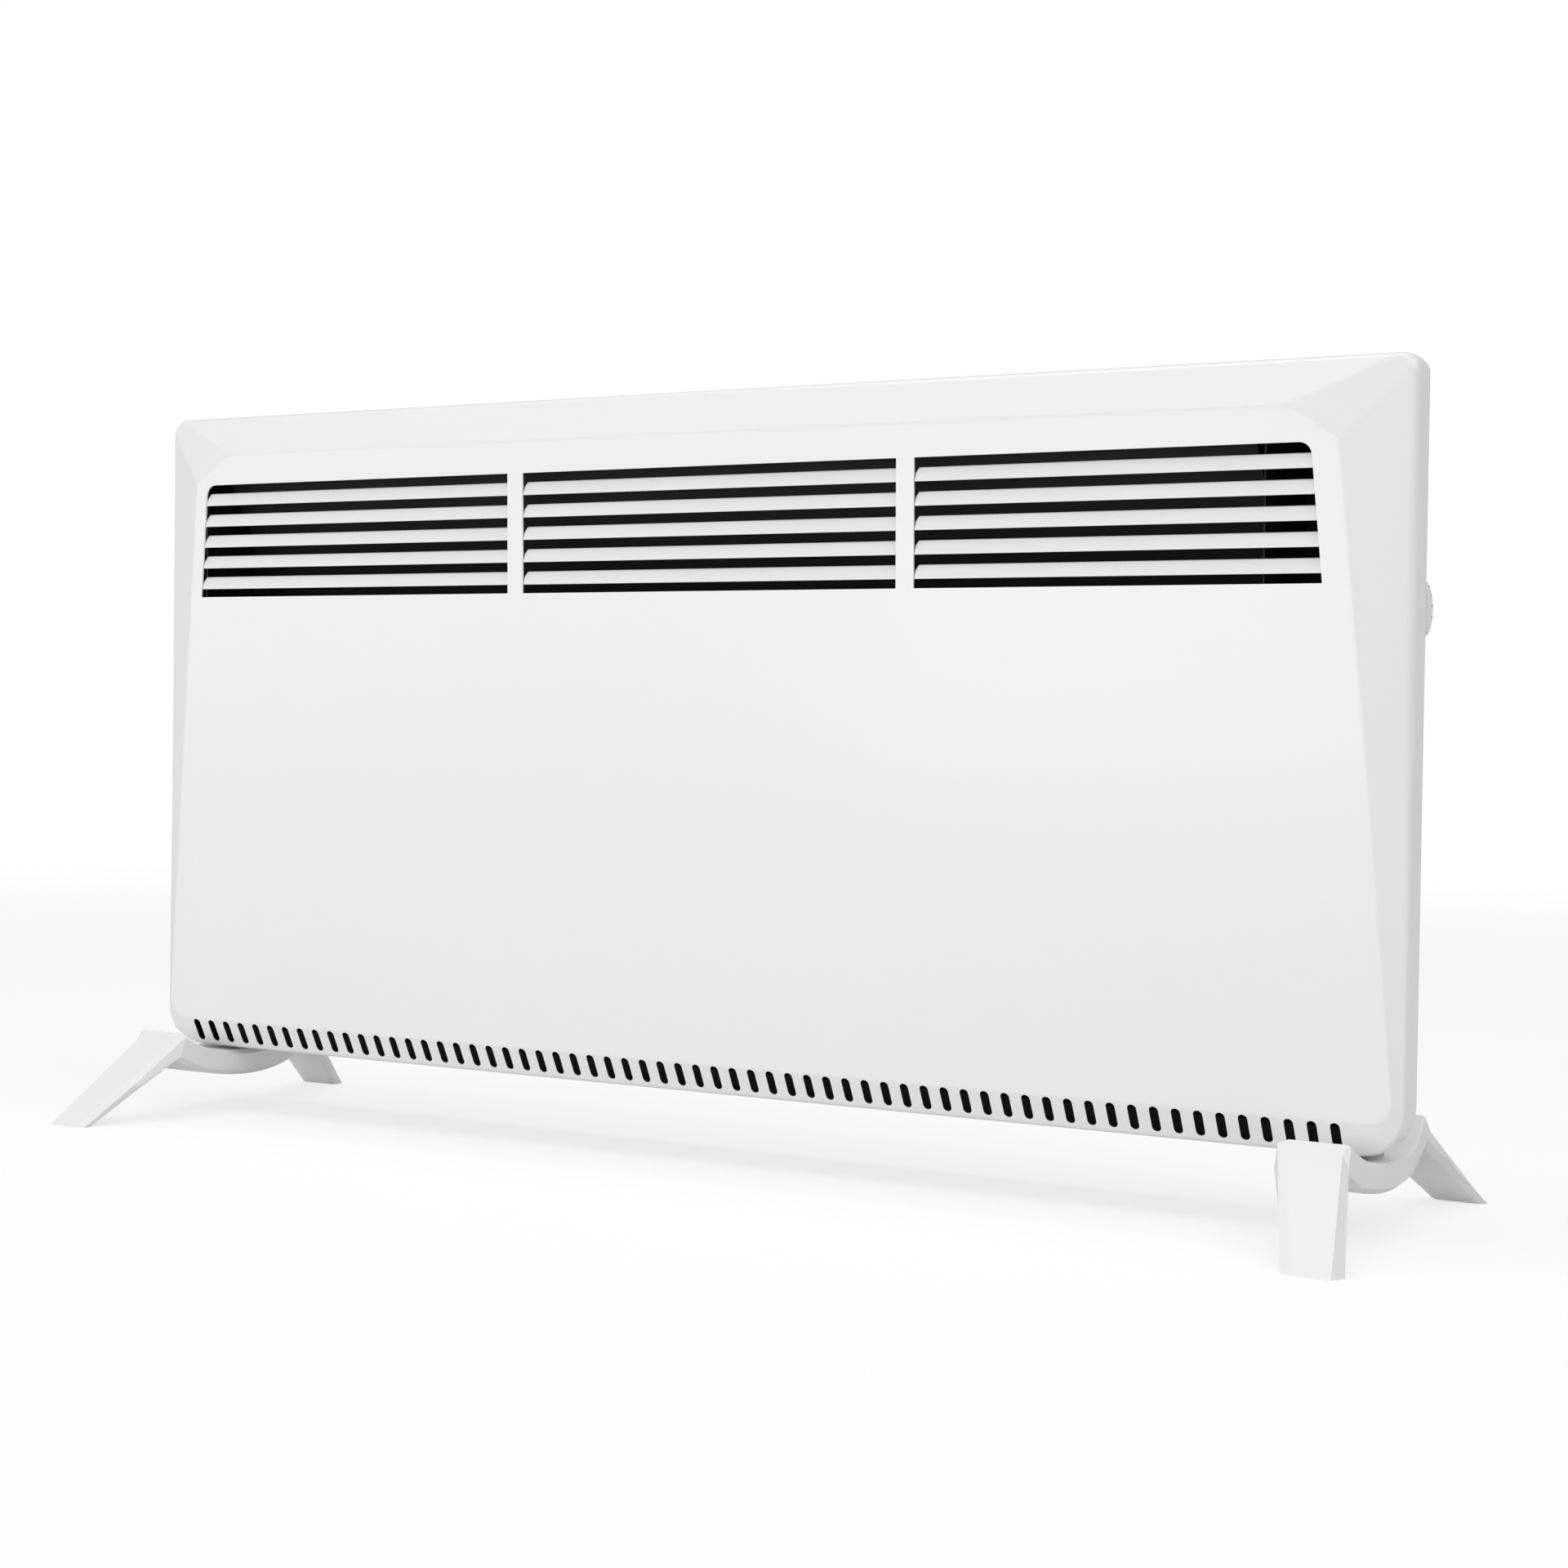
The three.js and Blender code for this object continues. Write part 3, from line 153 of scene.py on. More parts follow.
def addWorld():
    world = bpy.data.worlds.new("studio")
    bpy.context.scene.world = world
    world.use_nodes = True
    tree = world.node_tree
    tree.nodes.clear()
    light, backdrop = (
        addNode(tree, "ShaderNodeBackground", {"Color": (1, 1, 1, 1), "Strength": studio[key]})
        for key in ("worldStrength", "backdrop"))
    seen = mixShaders(tree, whiteRays(tree), light[0], backdrop[0])
    addNode(tree, "ShaderNodeOutputWorld", {"Surface": seen})


def addFloor():
    radius = studio["floorRadius"]
    far = 2 * radius
    floor = meshObject("studioFloor", [(-far, -far, 0), (far, -far, 0), (far, far, 0), (-far, far, 0)],
                       [(0, 1, 2, 3)])
    material = bpy.data.materials.new("studioFloor")
    material.use_nodes = True
    tree = material.node_tree
    tree.nodes.clear()
    rays = whiteRays(tree)
    tone, glow = (mapped(tree, rays, {"To Min": studio[unseen], "To Max": studio[seen]})
                  for unseen, seen in (("floorTone", "seenTone"), ("floorBounce", "seenGlow")))
    diffuse = addNode(tree, "ShaderNodeBsdfDiffuse", {"Color": tone})
    emission = addNode(tree, "ShaderNodeEmission", {"Strength": glow})
    lit = addNode(tree, "ShaderNodeAddShader", {0: diffuse[0], 1: emission[0]})
    # far from the object the floor gives way to the white background
    distance = addNode(tree, "ShaderNodeVectorMath", {0: objectPlace(tree)}, operation="LENGTH")
    fade = mapped(tree, distance["Value"], {"From Min": studio["fadeStart"] * radius, "From Max": radius},
                  interpolation_type="SMOOTHSTEP")
    clear = addNode(tree, "ShaderNodeBsdfTransparent", {})
    addNode(tree, "ShaderNodeOutputMaterial", {"Surface": mixShaders(tree, fade, lit[0], clear[0])})
    floor.data.materials.append(material)


def meshObject(name, points, faces):
    mesh = bpy.data.meshes.new(name)
    mesh.from_pydata([tuple(p) for p in points], [], faces)
    mesh.validate()
    return addObject(name, mesh)


def outwards(piece):
    # merges doubles and turns every face outwards
    made = bmesh.new()
    made.from_mesh(piece.data)
    bmesh.ops.remove_doubles(made, verts=made.verts, dist=1e-6)
    bmesh.ops.recalc_face_normals(made, faces=made.faces)
    made.to_mesh(piece.data)
    made.free()
    return piece


def baked(piece):
    # the evaluated mesh takes the place of the mesh and its modifiers
    bpy.context.view_layer.update()
    seen = piece.evaluated_get(bpy.context.evaluated_depsgraph_get())
    mesh = bpy.data.meshes.new_from_object(seen)
    piece.modifiers.clear()
    piece.data = mesh
    mesh.name = piece.name
    return piece


def applied(piece, name, kind, **settings):
    modifier = piece.modifiers.new(name, kind)
    for label, value in settings.items():
        setattr(modifier, label, value)
    return baked(piece)


def joined(name, pieces):
    target = pieces[0]
    with bpy.context.temp_override(active_object=target, selected_editable_objects=pieces):
        bpy.ops.object.join()
    target.name = name
    return target


def bevelled(piece, width, steps, angle):
    return applied(piece, "bevel", "BEVEL", width=width, segments=steps, limit_method="ANGLE",
                   angle_limit=math.radians(angle), use_clamp_overlap=True, miter_outer="MITER_ARC")


def evenShading(piece, angle=32):
    # flat faces shade flat, and bends between them shade round
    piece.data.shade_smooth()
    piece.data.set_sharp_from_angle(angle=math.radians(angle))
    return applied(piece, "normals", "WEIGHTED_NORMAL", keep_sharp=True, weight=60)


def cutBy(piece, *cutters, operation="DIFFERENCE"):
    for cutter in cutters:
        applied(piece, "cut", "BOOLEAN", operation=operation, solver="EXACT", object=cutter)
        bpy.data.objects.remove(cutter)
    return piece


def sheetOf(piece, thickness, even=True):
    # gives an open skin a wall behind its faces, with the second material, if any, on the inside
    return applied(piece, "wall", "SOLIDIFY", thickness=thickness, offset=-1, use_even_offset=even,
                   use_rim=True, material_offset=1)


def between(start, end, share):
    return start + (end - start) * share


def roundedLoop(corners, steps, extras=()):
    # corners are (u, v, radius); extras gives the points added on the edge after each corner
    arcs = []
    for i, (u, v, radius) in enumerate(corners):
        corner = Vector((u, v))
        back = (Vector(corners[i - 1][:2]) - corner).normalized()
        ahead = (Vector(corners[(i + 1) % len(corners)][:2]) - corner).normalized()
        half = math.acos(max(-1.0, min(1.0, back.dot(ahead)))) / 2
        reach = radius / math.tan(half)
        centre = corner + (back + ahead).normalized() * (radius / math.sin(half))
        spoke = corner + back * reach - centre
        side = 1 if spoke.cross(corner + ahead * reach - centre) > 0 else -1
        arcs.append([])
        for k in range(steps + 1):
            angle = side * (math.pi - 2 * half) * k / steps
            cos, sin = math.cos(angle), math.sin(angle)
            arcs[-1].append(centre + Vector((spoke.x * cos - spoke.y * sin, spoke.x * sin + spoke.y * cos)))
    loop = []
    for i, arc in enumerate(arcs):
        loop += arc
        if extras:
            after = arcs[(i + 1) % len(arcs)][0]
            loop += [arc[-1].lerp(after, (k + 1) / (extras[i] + 1)) for k in range(extras[i])]
    return loop


def bothSides(right, left):
    # an outline's corners, up the right side and down the left one, which is given as a right side
    return [*right, *((-u, v, radius) for u, v, radius in reversed(left))]


def roundedBox(low, high, radius, steps):
    return roundedLoop([(low[0], low[1], radius), (high[0], low[1], radius),
                        (high[0], high[1], radius), (low[0], high[1], radius)], steps)


def filletPath(points, radii, steps):
    # a path through points, its inner corners rounded by arcs of equal point counts, or kept at radius 0
    path = [Vector(points[0])]
    for before, corner, after, radius in zip(points, points[1:], points[2:], radii):
        before, corner, after = Vector(before), Vector(corner), Vector(after)
        if not radius:
            path.append(corner)
            continue
        back, ahead = before - corner, after - corner
        half = back.angle(ahead, math.pi) / 2
        reach = min(radius / max(math.tan(half), 1e-6), 0.45 * min(back.length, ahead.length))
        first, last = corner + back.normalized() * reach, corner + ahead.normalized() * reach
        for k in range(steps + 1):
            share = k / steps
            path.append(first.lerp(corner, share).lerp(corner.lerp(last, share), share))
    path.append(Vector(points[-1]))
    return path


def lofted(name, rings, capFirst=False, capLast=False):
    # rings of equal point counts, joined by quads
    count = len(rings[0])
    faces = []
    for r in range(len(rings) - 1):
        for i in range(count):
            n = (i + 1) % count
            faces.append((r * count + i, r * count + n, (r + 1) * count + n, (r + 1) * count + i))
    if capFirst:
        faces.append(tuple(reversed(range(count))))
    if capLast:
        faces.append(tuple(range((len(rings) - 1) * count, len(rings) * count)))
    return outwards(meshObject(name, [p for ring in rings for p in ring], faces))


def placer(axis, origin=(0, 0, 0)):
    # gives the point for (u, v, d), where d runs along x, y or z from an origin
    order = {"x": (2, 0, 1), "y": (0, 2, 1), "z": (0, 1, 2)}[axis]
    return lambda *point: Vector(origin) + Vector([point[i] for i in order])


def prism(name, outline, place, depths):
    # an outline of (u, v) points between two depths
    return lofted(name, [[place(u, v, d) for u, v in outline] for d in depths], True, True)


def turnedForm(name, profile, steps, place):
    # profile of (radius, height) points about an axis
    angles = [2 * math.pi * i / steps for i in range(steps)]
    rings = [[place(radius * math.cos(angle), radius * math.sin(angle), height) for angle in angles]
             for radius, height in profile]
    return lofted(name, rings, True, True)


def boxForm(name, low, high):
    corners = [(x, y, z) for x in (low[0], high[0]) for y in (low[1], high[1]) for z in (low[2], high[2])]
    faces = [(0, 1, 3, 2), (4, 6, 7, 5), (0, 4, 5, 1), (2, 3, 7, 6), (0, 2, 6, 4), (1, 5, 7, 3)]
    return outwards(meshObject(name, corners, faces))


def copiesTree(name, inputs, arrange):
    # copies of a piece as real geometry in its material; arrange gives their points, and scale or turn
    tree = bpy.data.node_groups.new(name, "GeometryNodeTree")
    for label, kind in (("Geometry", "Geometry"), ("Piece", "Object"), *inputs, ("Material", "Material")):
        tree.interface.new_socket(label, in_out="INPUT", socket_type="NodeSocket" + kind)
    tree.interface.new_socket("Geometry", in_out="OUTPUT", socket_type="NodeSocketGeometry")
    source = addNode(tree, "NodeGroupInput", {})
    piece = addNode(tree, "GeometryNodeObjectInfo", {"Object": source["Piece"]})["Geometry"]
    copies = addNode(tree, "GeometryNodeInstanceOnPoints", {"Instance": piece, **arrange(tree, source)})
    real = addNode(tree, "GeometryNodeRealizeInstances", {0: copies[0]})
    painted = addNode(tree, "GeometryNodeSetMaterial", {"Geometry": real[0], "Material": source["Material"]})
    addNode(tree, "NodeGroupOutput", {0: painted[0]})
    return tree


def inRow(tree, source):
    # a row of copies, each one grown about the row's fixed end
    line = addNode(tree, "GeometryNodeMeshLine", {
        "Count": source["Count"], "Start Location": source["Start"], "Offset": source["Pitch"]})
    index = addNode(tree, "GeometryNodeInputIndex", {})[0]
    growth = mathNode(tree, "MULTIPLY_ADD", index, source["Growth"], 1)
    scale = addNode(tree, "ShaderNodeCombineXYZ", {"X": growth, "Y": 1, "Z": 1})
    return {"Points": line[0], "Scale": scale[0]}


def roundCentre(tree, source):
    # copies at one centre, each turned a step of degrees further about X
    line = addNode(tree, "GeometryNodeMeshLine", {
        "Count": source["Count"], "Start Location": source["Centre"], "Offset": (0, 0, 0)})
    index = addNode(tree, "GeometryNodeInputIndex", {})[0]
    angle = mathNode(tree, "RADIANS", mathNode(tree, "MULTIPLY", index, source["Step"]))
    return {"Points": line[0], "Rotation": addNode(tree, "ShaderNodeCombineXYZ", {"X": angle})[0]}


copiesInRow = copiesTree(
    "copiesInRow", [("Count", "Int"), ("Start", "Vector"), ("Pitch", "Vector"), ("Growth", "Float")], inRow)
copiesRound = copiesTree(
    "copiesRound", [("Count", "Int"), ("Centre", "Vector"), ("Step", "Float")], roundCentre)
copiesAtPlaces = copiesTree("copiesAtPlaces", [("Turn", "Vector")], lambda tree, source: {
    "Points": source["Geometry"], "Rotation": source["Turn"]})


def grow(name, tree, piece, finish, values, points=((0, 0, 0),)):
    # a plain mesh made by a tree from a piece, which it takes the place of, and named values
    made = meshObject(name, points, [])
    modifier = made.modifiers.new("copies", "NODES")
    modifier.node_group = tree
    values = {"Piece": piece, "Material": materials[finish], **values}
    for socket in tree.interface.items_tree:
        if socket.in_out == "INPUT" and socket.name in values:
            modifier[socket.identifier] = values[socket.name]
    baked(made)
    bpy.data.objects.remove(piece)
    return made


def newGroup(name, inputs, *outputs):
    group = bpy.data.node_groups.new(name, "ShaderNodeTree")
    for label, value in inputs.items():
        socket = group.interface.new_socket(label, in_out="INPUT", socket_type="NodeSocketFloat")
        socket.default_value = value
    for label in outputs:
        group.interface.new_socket(label, in_out="OUTPUT", socket_type="NodeSocketFloat")
    return group, addNode(group, "NodeGroupInput", {})


def noise(tree, scale, detail, roughness=0.5):
    return addNode(tree, "ShaderNodeTexNoise", {
        "Vector": objectPlace(tree), "Scale": scale, "Detail": detail, "Roughness": roughness})["Fac"]


def endWithMask(group, source, share, detail):
    # the group gives the share, made patchy by noise and scaled by its amount
    mask = mathNode(group, "MULTIPLY", share, noise(group, source["Scale"], detail))
    addNode(group, "NodeGroupOutput", {"Mask": mathNode(group, "MULTIPLY", mask, source["Amount"])})
    return group


def grainGroup():
    # fine ripple of sprayed powder or of a moulding, with a slow drift of gloss
    group, source = newGroup("fineGrain", {"Scale": 900, "Drift Scale": 6, "Drift": 0.05},
                             "Height", "Gloss Shift")
    centred = mathNode(group, "SUBTRACT", noise(group, source["Drift Scale"], 4), 0.5)
    addNode(group, "NodeGroupOutput", {
        "Height": noise(group, source["Scale"], 3, 0.55),
        "Gloss Shift": mathNode(group, "MULTIPLY", centred, source["Drift"]),
    })
    return group


dustAndEdgeHighlight = {
    "dustFrom": 0.55,           # upward part of the normal from which dust settles
    "dustColour": (0.6, 0.58, 0.55), "dustRoughness": 0.5,
    # the edge values set where a painted highlight lightens the colour along bends and edges
    "edgeFrom": 0.995, "edgeFull": 0.86,    # how alike the rounded and the true normal are
    "edgeSamples": 6, "edgeAmount": 0.7,
}


def dustGroup():
    # thin dust that settles on what faces up
    group, source = newGroup("settledDust", {"Amount": 0.2, "Scale": 40}, "Mask")
    normal = addNode(group, "ShaderNodeNewGeometry", {})["Normal"]
    upward = addNode(group, "ShaderNodeSeparateXYZ", {0: normal})["Z"]
    facing = mapped(group, upward, {"From Min": dustAndEdgeHighlight["dustFrom"], "From Max": 1.0})
    return endWithMask(group, source, facing, 6)


def edgeGroup():
    # 1 along the bends and edges, where the colour is lightened as a painted highlight
    group, source = newGroup("edgeThinning", {"Radius": 0.0015, "Amount": 0.5, "Scale": 60}, "Mask")
    soft = addNode(group, "ShaderNodeBevel", {"Radius": source["Radius"]}, samples=dustAndEdgeHighlight["edgeSamples"])
    true = addNode(group, "ShaderNodeNewGeometry", {})["True Normal"]
    alike = addNode(group, "ShaderNodeVectorMath", {0: soft["Normal"], 1: true}, operation="DOT_PRODUCT")
    ends = {"From Min": dustAndEdgeHighlight["edgeFrom"], "From Max": dustAndEdgeHighlight["edgeFull"]}
    return endWithMask(group, source, mapped(group, alike["Value"], ends), 5)


grain, dust, edges = grainGroup(), dustGroup(), edgeGroup()

shine = {"specular": 0.45, "coatRoughness": 0.16}

finishes = {
    # edge is the lighter colour of a painted highlight along the bends, and for crystals their colour; bump
    # is in metres; the finish is no metal, has no clear coat and no crystals unless they are given
    "casingPaint": dict(
        colour=(0.905, 0.905, 0.9), edge=(0.95, 0.95, 0.945), dust=0.05, roughness=0.36, grain=1400,
        bump=0.000012, drift=0.05, coat=0.35),
    "whiteMoulding": dict(
        colour=(0.885, 0.885, 0.88), edge=(0.94, 0.94, 0.935), dust=0.04, roughness=0.42, grain=2600,
        bump=0.000010, drift=0.04),
    "darkMoulding": dict(
        colour=(0.022, 0.022, 0.024), edge=(0.06, 0.06, 0.062), dust=0.05, roughness=0.46, grain=2400,
        bump=0.000012, drift=0.06),
    # near-black painted shade: the inside of the casing and the rear cover, the intake cutters, the air
    # deflector and the control partition stand for the dark shade seen through the grille and slots
    "innerCoat": dict(
        colour=(0.018, 0.018, 0.019), edge=(0.05, 0.05, 0.05), dust=0.03, roughness=0.75, grain=900,
        bump=0.000015, drift=0.05),
    "unglazedCeramic": dict(
        colour=(0.72, 0.67, 0.57), edge=(0.8, 0.77, 0.7), dust=0.06, roughness=0.72, grain=1800,
        bump=0.00002, drift=0.06),
    "brightZinc": dict(
        colour=(0.66, 0.67, 0.68), edge=(0.8, 0.8, 0.8), dust=0.02, roughness=0.28, grain=1500,
        bump=0.000006, drift=0.08, metallic=1),
    "extrudedAluminium": dict(
        colour=(0.55, 0.56, 0.57), edge=(0.7, 0.7, 0.7), dust=0.05, roughness=0.42, grain=700,
        bump=0.00001, drift=0.1, metallic=1),
    "zincSheet": dict(
        colour=(0.48, 0.49, 0.5), edge=(0.66, 0.67, 0.68), dust=0.12, roughness=0.34, grain=500,
        bump=0.00001, drift=0.1, metallic=1, crystals=130, roughSpread=0.14, dustColour=(0.5, 0.48, 0.45)),
}


def startMaterial(name, look):
    material = bpy.data.materials.new(name)
    material.use_nodes = True
    shader = material.node_tree.nodes["Principled BSDF"].inputs
    for label, value in (
            ("Metallic", look.get("metallic", 0)), ("Roughness", look["roughness"]),
            ("Coat Weight", look.get("coat", 0)), ("Coat Roughness", shine["coatRoughness"]),
            ("Specular IOR Level", shine["specular"])):
        shader[label].default_value = value
    return material, material.node_tree, shader


def placeGroup(tree, group, **values):
    return addNode(tree, "ShaderNodeGroup", values, node_tree=group)


def mixColour(tree, mask, first, second):
    ends = {label: (*value, 1) if isinstance(value, tuple) else value
            for label, value in (("A", first), ("B", second))}
    return addNode(tree, "ShaderNodeMix", {"Factor": mask, **ends}, data_type="RGBA")["Result"]


def finishMaterial(tree, shader, colour, height, distance, invert=False):
    relief = addNode(tree, "ShaderNodeBump", {"Height": height, "Distance": distance}, invert=invert)
    tree.links.new(colour, shader["Base Color"])
    tree.links.new(relief[0], shader["Normal"])


def grainedMaterial(name, look):
    material, tree, shader = startMaterial(name, look)
    surface = placeGroup(tree, grain, Scale=look["grain"], Drift=look["drift"])
    settled = placeGroup(tree, dust, Amount=look["dust"])["Mask"]
    if "crystals" in look:
        crystals = addNode(tree, "ShaderNodeTexVoronoi", {
            "Scale": look["crystals"], "Vector": objectPlace(tree)})["Color"]
        tone = addNode(tree, "ShaderNodeSeparateColor", {0: crystals})
        mask, rougher = tone["Red"], mathNode(tree, "MULTIPLY", tone["Green"], look["roughSpread"])
    else:
        # a painted highlight lightens the colour along bends and edges towards the finish's edge colour
        mask = placeGroup(tree, edges, Amount=dustAndEdgeHighlight["edgeAmount"])["Mask"]
        rougher = mathNode(tree, "MULTIPLY", settled, dustAndEdgeHighlight["dustRoughness"])
    rough = mathNode(tree, "ADD", surface["Gloss Shift"], look["roughness"])
    tree.links.new(mathNode(tree, "ADD", rough, rougher), shader["Roughness"])
    colour = mixColour(tree, mask, look["colour"], look["edge"])
    dusty = mixColour(tree, settled, colour, look.get("dustColour", dustAndEdgeHighlight["dustColour"]))
    finishMaterial(tree, shader, dusty, surface["Height"], look["bump"])
    return material


patterns = {
    # ribs of the lamp's lens and braid of the leads; low and high are the pattern's two colours
    "lampGlass": dict(
        texture="Wave", output="Fac", scale=700, roughness=0.12, bump=0.00008, invert=False,
        low=(0.473, 0.11, 0.0165), high=(0.86, 0.2, 0.03)),
    "leadSleeve": dict(
        texture="Voronoi", output="Distance", scale=900, roughness=0.62, bump=0.00015, invert=True,
        low=(0.56, 0.2, 0.13), high=(0.42, 0.11, 0.07)),
}


def patternMaterial(name, look):
    material, tree, shader = startMaterial(name, look)
    pattern = addNode(tree, "ShaderNodeTex" + look["texture"], {
        "Scale": look["scale"], "Vector": objectPlace(tree)})[look["output"]]
    colour = mixColour(tree, pattern, look["low"], look["high"])
    finishMaterial(tree, shader, colour, pattern, look["bump"], look["invert"])
    return material


materials = {name: grainedMaterial(name, look) for name, look in finishes.items()}
materials.update({name: patternMaterial(name, look) for name, look in patterns.items()})
print("materials ready:", len(materials))


def dress(piece, *names):
    piece.data.materials.clear()
    for name in names:
        piece.data.materials.append(materials[name])
    return piece


def mount(piece, body, slot, *nodes):
    # the finished piece moves with a body and stands for these solids
    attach(piece, body)
    if nodes:
        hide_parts(*nodes)


def middleOf(node):
    low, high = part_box(node)
    return (low + high) / 2


def holesAt(nodes, axis, level, reach, radius):
    # cutters for round holes through the middles of solids, centred on a level of an axis
    holes = []
    for node in nodes:
        spot = middleOf(node)
        spot["xyz".index(axis)] = level
        holes.append(turnedForm("hole", [(radius, -reach), (radius, reach)], 20, placer(axis, spot)))
    return holes


def cutterRow(cutter, finish, reach, pitch, shift=0):
    # copies of a cutter on both sides of the middle, as far as they reach
    each = math.floor(reach / pitch)
    return grow(cutter.name + "Row", copiesInRow, cutter, finish, {
        "Count": 2 * each + 1, "Start": (shift - each * pitch, 0, 0), "Pitch": (pitch, 0, 0), "Growth": 0.0})


def turnedTo(skin, way):
    # an open skin's outer side faces the front, way -1, or the back, way 1
    if way * sum(face.normal.y * face.area for face in skin.data.polygons) < 0:
        skin.data.flip_normals()
    return skin


def skinOf(name, sections, way, **caps):
    # a skin through sections of equal point counts
    skin = lofted(name, [list(ring) for ring in zip(*sections)], **caps)
    # the inside of the skin is painted near black as painted shade
    return dress(turnedTo(skin, way), "casingPaint", "innerCoat")


casing = {
    "faceProudTop": 0.012,     # face in front of the rim at the upper crease
    "faceProudLow": 0.0047,    # and at the lower crease
    "sideDepth": 0.020,
    "topBevel": 0.0255,
    "rightBevel": 0.0385,
    "leftBevel": 0.0325,
    "lowSideBevel": 0.0044,
    "lowBevel": 0.018,
    "lowBevelDepth": 0.009,    # how far the lower slope runs to the back
    "cornerCutAcross": 0.025,  # flat corner between the top and side slopes
    "cornerCutDown": 0.018,
    "upperCutRounding": 0.030,
    "lowerCutRounding": 0.006,
    "lowFaceRounding": 0.012,
    "topCornerCut": 0.006,     # the rim's corner is cut as well, and rounded
    "topCornerRadius": 0.0078,
    "ridgeRadius": 0.0045,     # folds between the slopes
    "ridgeShares": (0.22, 0.6),  # on the way from the crease to the rim
    "lowCorner": 0.025,
    "creaseRadius": 0.0035,
    "topRimRadius": 0.005,
    "sideRimRadius": 0.011,
    "backRadius": 0.0016,
    "inset": 0.004,            # ring on the face inside the crease
    "insetRounding": 0.75,     # its corner radii against the crease's
    "insetSlant": 0.4,         # how fast an inset shortens the face's cut corners
    "rimCutShrink": 0.3,       # and the rim's cut and radius
    "rimRadiusShrink": 0.5,
    "flange": 0.012,
    "sheet": 0.0012,
    "arcSteps": 7,
    "bendSteps": 6,
    "edgePoints": (22, 2, 10, 2, 22, 10),   # from the right side round to the lower edge
}

casingLow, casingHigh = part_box("front_casing")
halfWidth = casingHigh.x
rimY = -casing["sideDepth"]
upperCrease = casingHigh.z - casing["topBevel"]
lowerCrease = casingLow.z + casing["lowBevel"]


def faceY(z):
    lean = (casing["faceProudTop"] - casing["faceProudLow"]) / (upperCrease - lowerCrease)
    return rimY - casing["faceProudTop"] + lean * (upperCrease - z)


def creaseX(z, bevel):
    share = (upperCrease - z) / (upperCrease - lowerCrease)
    return halfWidth - bevel - share * (casing["lowSideBevel"] - bevel)


def faceCorners(inset, rounding):
    # the face's outline, from its lower right corner, with a flat cut at both upper corners
    cutZ, low = upperCrease - casing["cornerCutDown"], lowerCrease + inset
    slant = inset * casing["insetSlant"]
    lowRadius, lowCut, highCut = (
        casing[key] * rounding for key in ("lowFaceRounding", "lowerCutRounding", "upperCutRounding"))
    return bothSides(*([
        (creaseX(low, bevel) - inset, low, lowRadius), (creaseX(cutZ, bevel) - inset, cutZ - slant, lowCut),
        (creaseX(upperCrease, bevel) - casing["cornerCutAcross"] - slant, upperCrease - inset, highCut),
    ] for bevel in (casing["rightBevel"], casing["leftBevel"])))


def rimCorners(inset):
    # the casing's outline; each upper corner is two half turns that match the face's cut
    radius = casing["topCornerRadius"] - inset * casing["rimRadiusShrink"]
    half, top = halfWidth - inset, casingHigh.z - inset
    step = casing["topCornerCut"] - inset * casing["rimCutShrink"]
    right = [(half, casingLow.z + inset, casing["lowCorner"] - inset), (half, top - step, radius),
             (half - step, top, radius)]
    return bothSides(right, right)


def slopeY(z):
    # front of the side wall: the rim, or the slope that cuts under it
    return max(rimY, faceY(lowerCrease) + (lowerCrease - z) * casing["lowBevelDepth"] / casing["lowBevel"])


def casingSkin():
    inner, crease, rim, flange = (
        roundedLoop(corners, casing["arcSteps"], casing["edgePoints"]) for corners in (
            faceCorners(casing["inset"], casing["insetRounding"]), faceCorners(0, 1), rimCorners(0),
            rimCorners(casing["flange"])))
    shares = casing["ridgeShares"]
    folds = []
    for share in shares:
        corners = []
        for i, ends in enumerate(zip(faceCorners(0, 1), rimCorners(0))):
            u, v, radius = (between(start, end, share) for start, end in zip(*ends))
            corners.append((u, v, radius if i in (0, 5) else casing["ridgeRadius"]))
        folds.append(roundedLoop(corners, casing["arcSteps"], casing["edgePoints"]))
    sections = []
    for a, b, c, d, *ridges in zip(inner, crease, rim, flange, *folds):
        sideways = abs(c.x - b.x) / (abs(c.x - b.x) + abs(c.y - b.y))
        rimRadius = between(casing["topRimRadius"], casing["sideRimRadius"], sideways ** 2)
        radii = (casing["creaseRadius"], *[0 for ridge in ridges], rimRadius, casing["backRadius"])
        creaseY, rimDepth = faceY(b.y), slopeY(c.y)
        slope = [(ridge.x, between(creaseY, rimDepth, share), ridge.y)
                 for ridge, share in zip(ridges, shares)]
        sections.append(filletPath([
            (a.x, faceY(a.y), a.y), (b.x, creaseY, b.y), *slope, (c.x, rimDepth, c.y),
            (c.x, 0, c.y), (d.x, 0, d.y),
        ], radii, casing["bendSteps"]))
    return skinOf("casingShell", sections, -1, capFirst=True)


grille = {
    "rows": 6, "top": 0.0192, "pitch": 0.01332, "gap": 0.0050, "centreHalf": 0.1262, "bar": 0.011,
    "rightMargin": 0.0148, "leftMargin": 0.0088, "cornerRadius": 0.007, "sharpCorner": 0.0003,
    "cutDepths": (3, 0.3),   # the cutters' ends, as shares of the rim's depth
    "lean": 0.0032,          # slat's upper edge pushed in
    "lip": 0.0024,           # depth of the slat's turned edges
    "lowLip": 0.0004, "topLip": 0.0005,    # how far they lean towards its middle
    "lowBend": 0.0011, "topBend": 0.0014,
    "slatSheet": 0.0009,
    "clip": 0.0022,          # slat's upper corners cut down at its ends
    "clipLength": 0.0014,
    "clipShape": ((0.0, 1.0), (0.25, 0.85), (0.6, 0.35), (1.0, 0.0)),   # along, down
    "tuck": 0.0004,
}

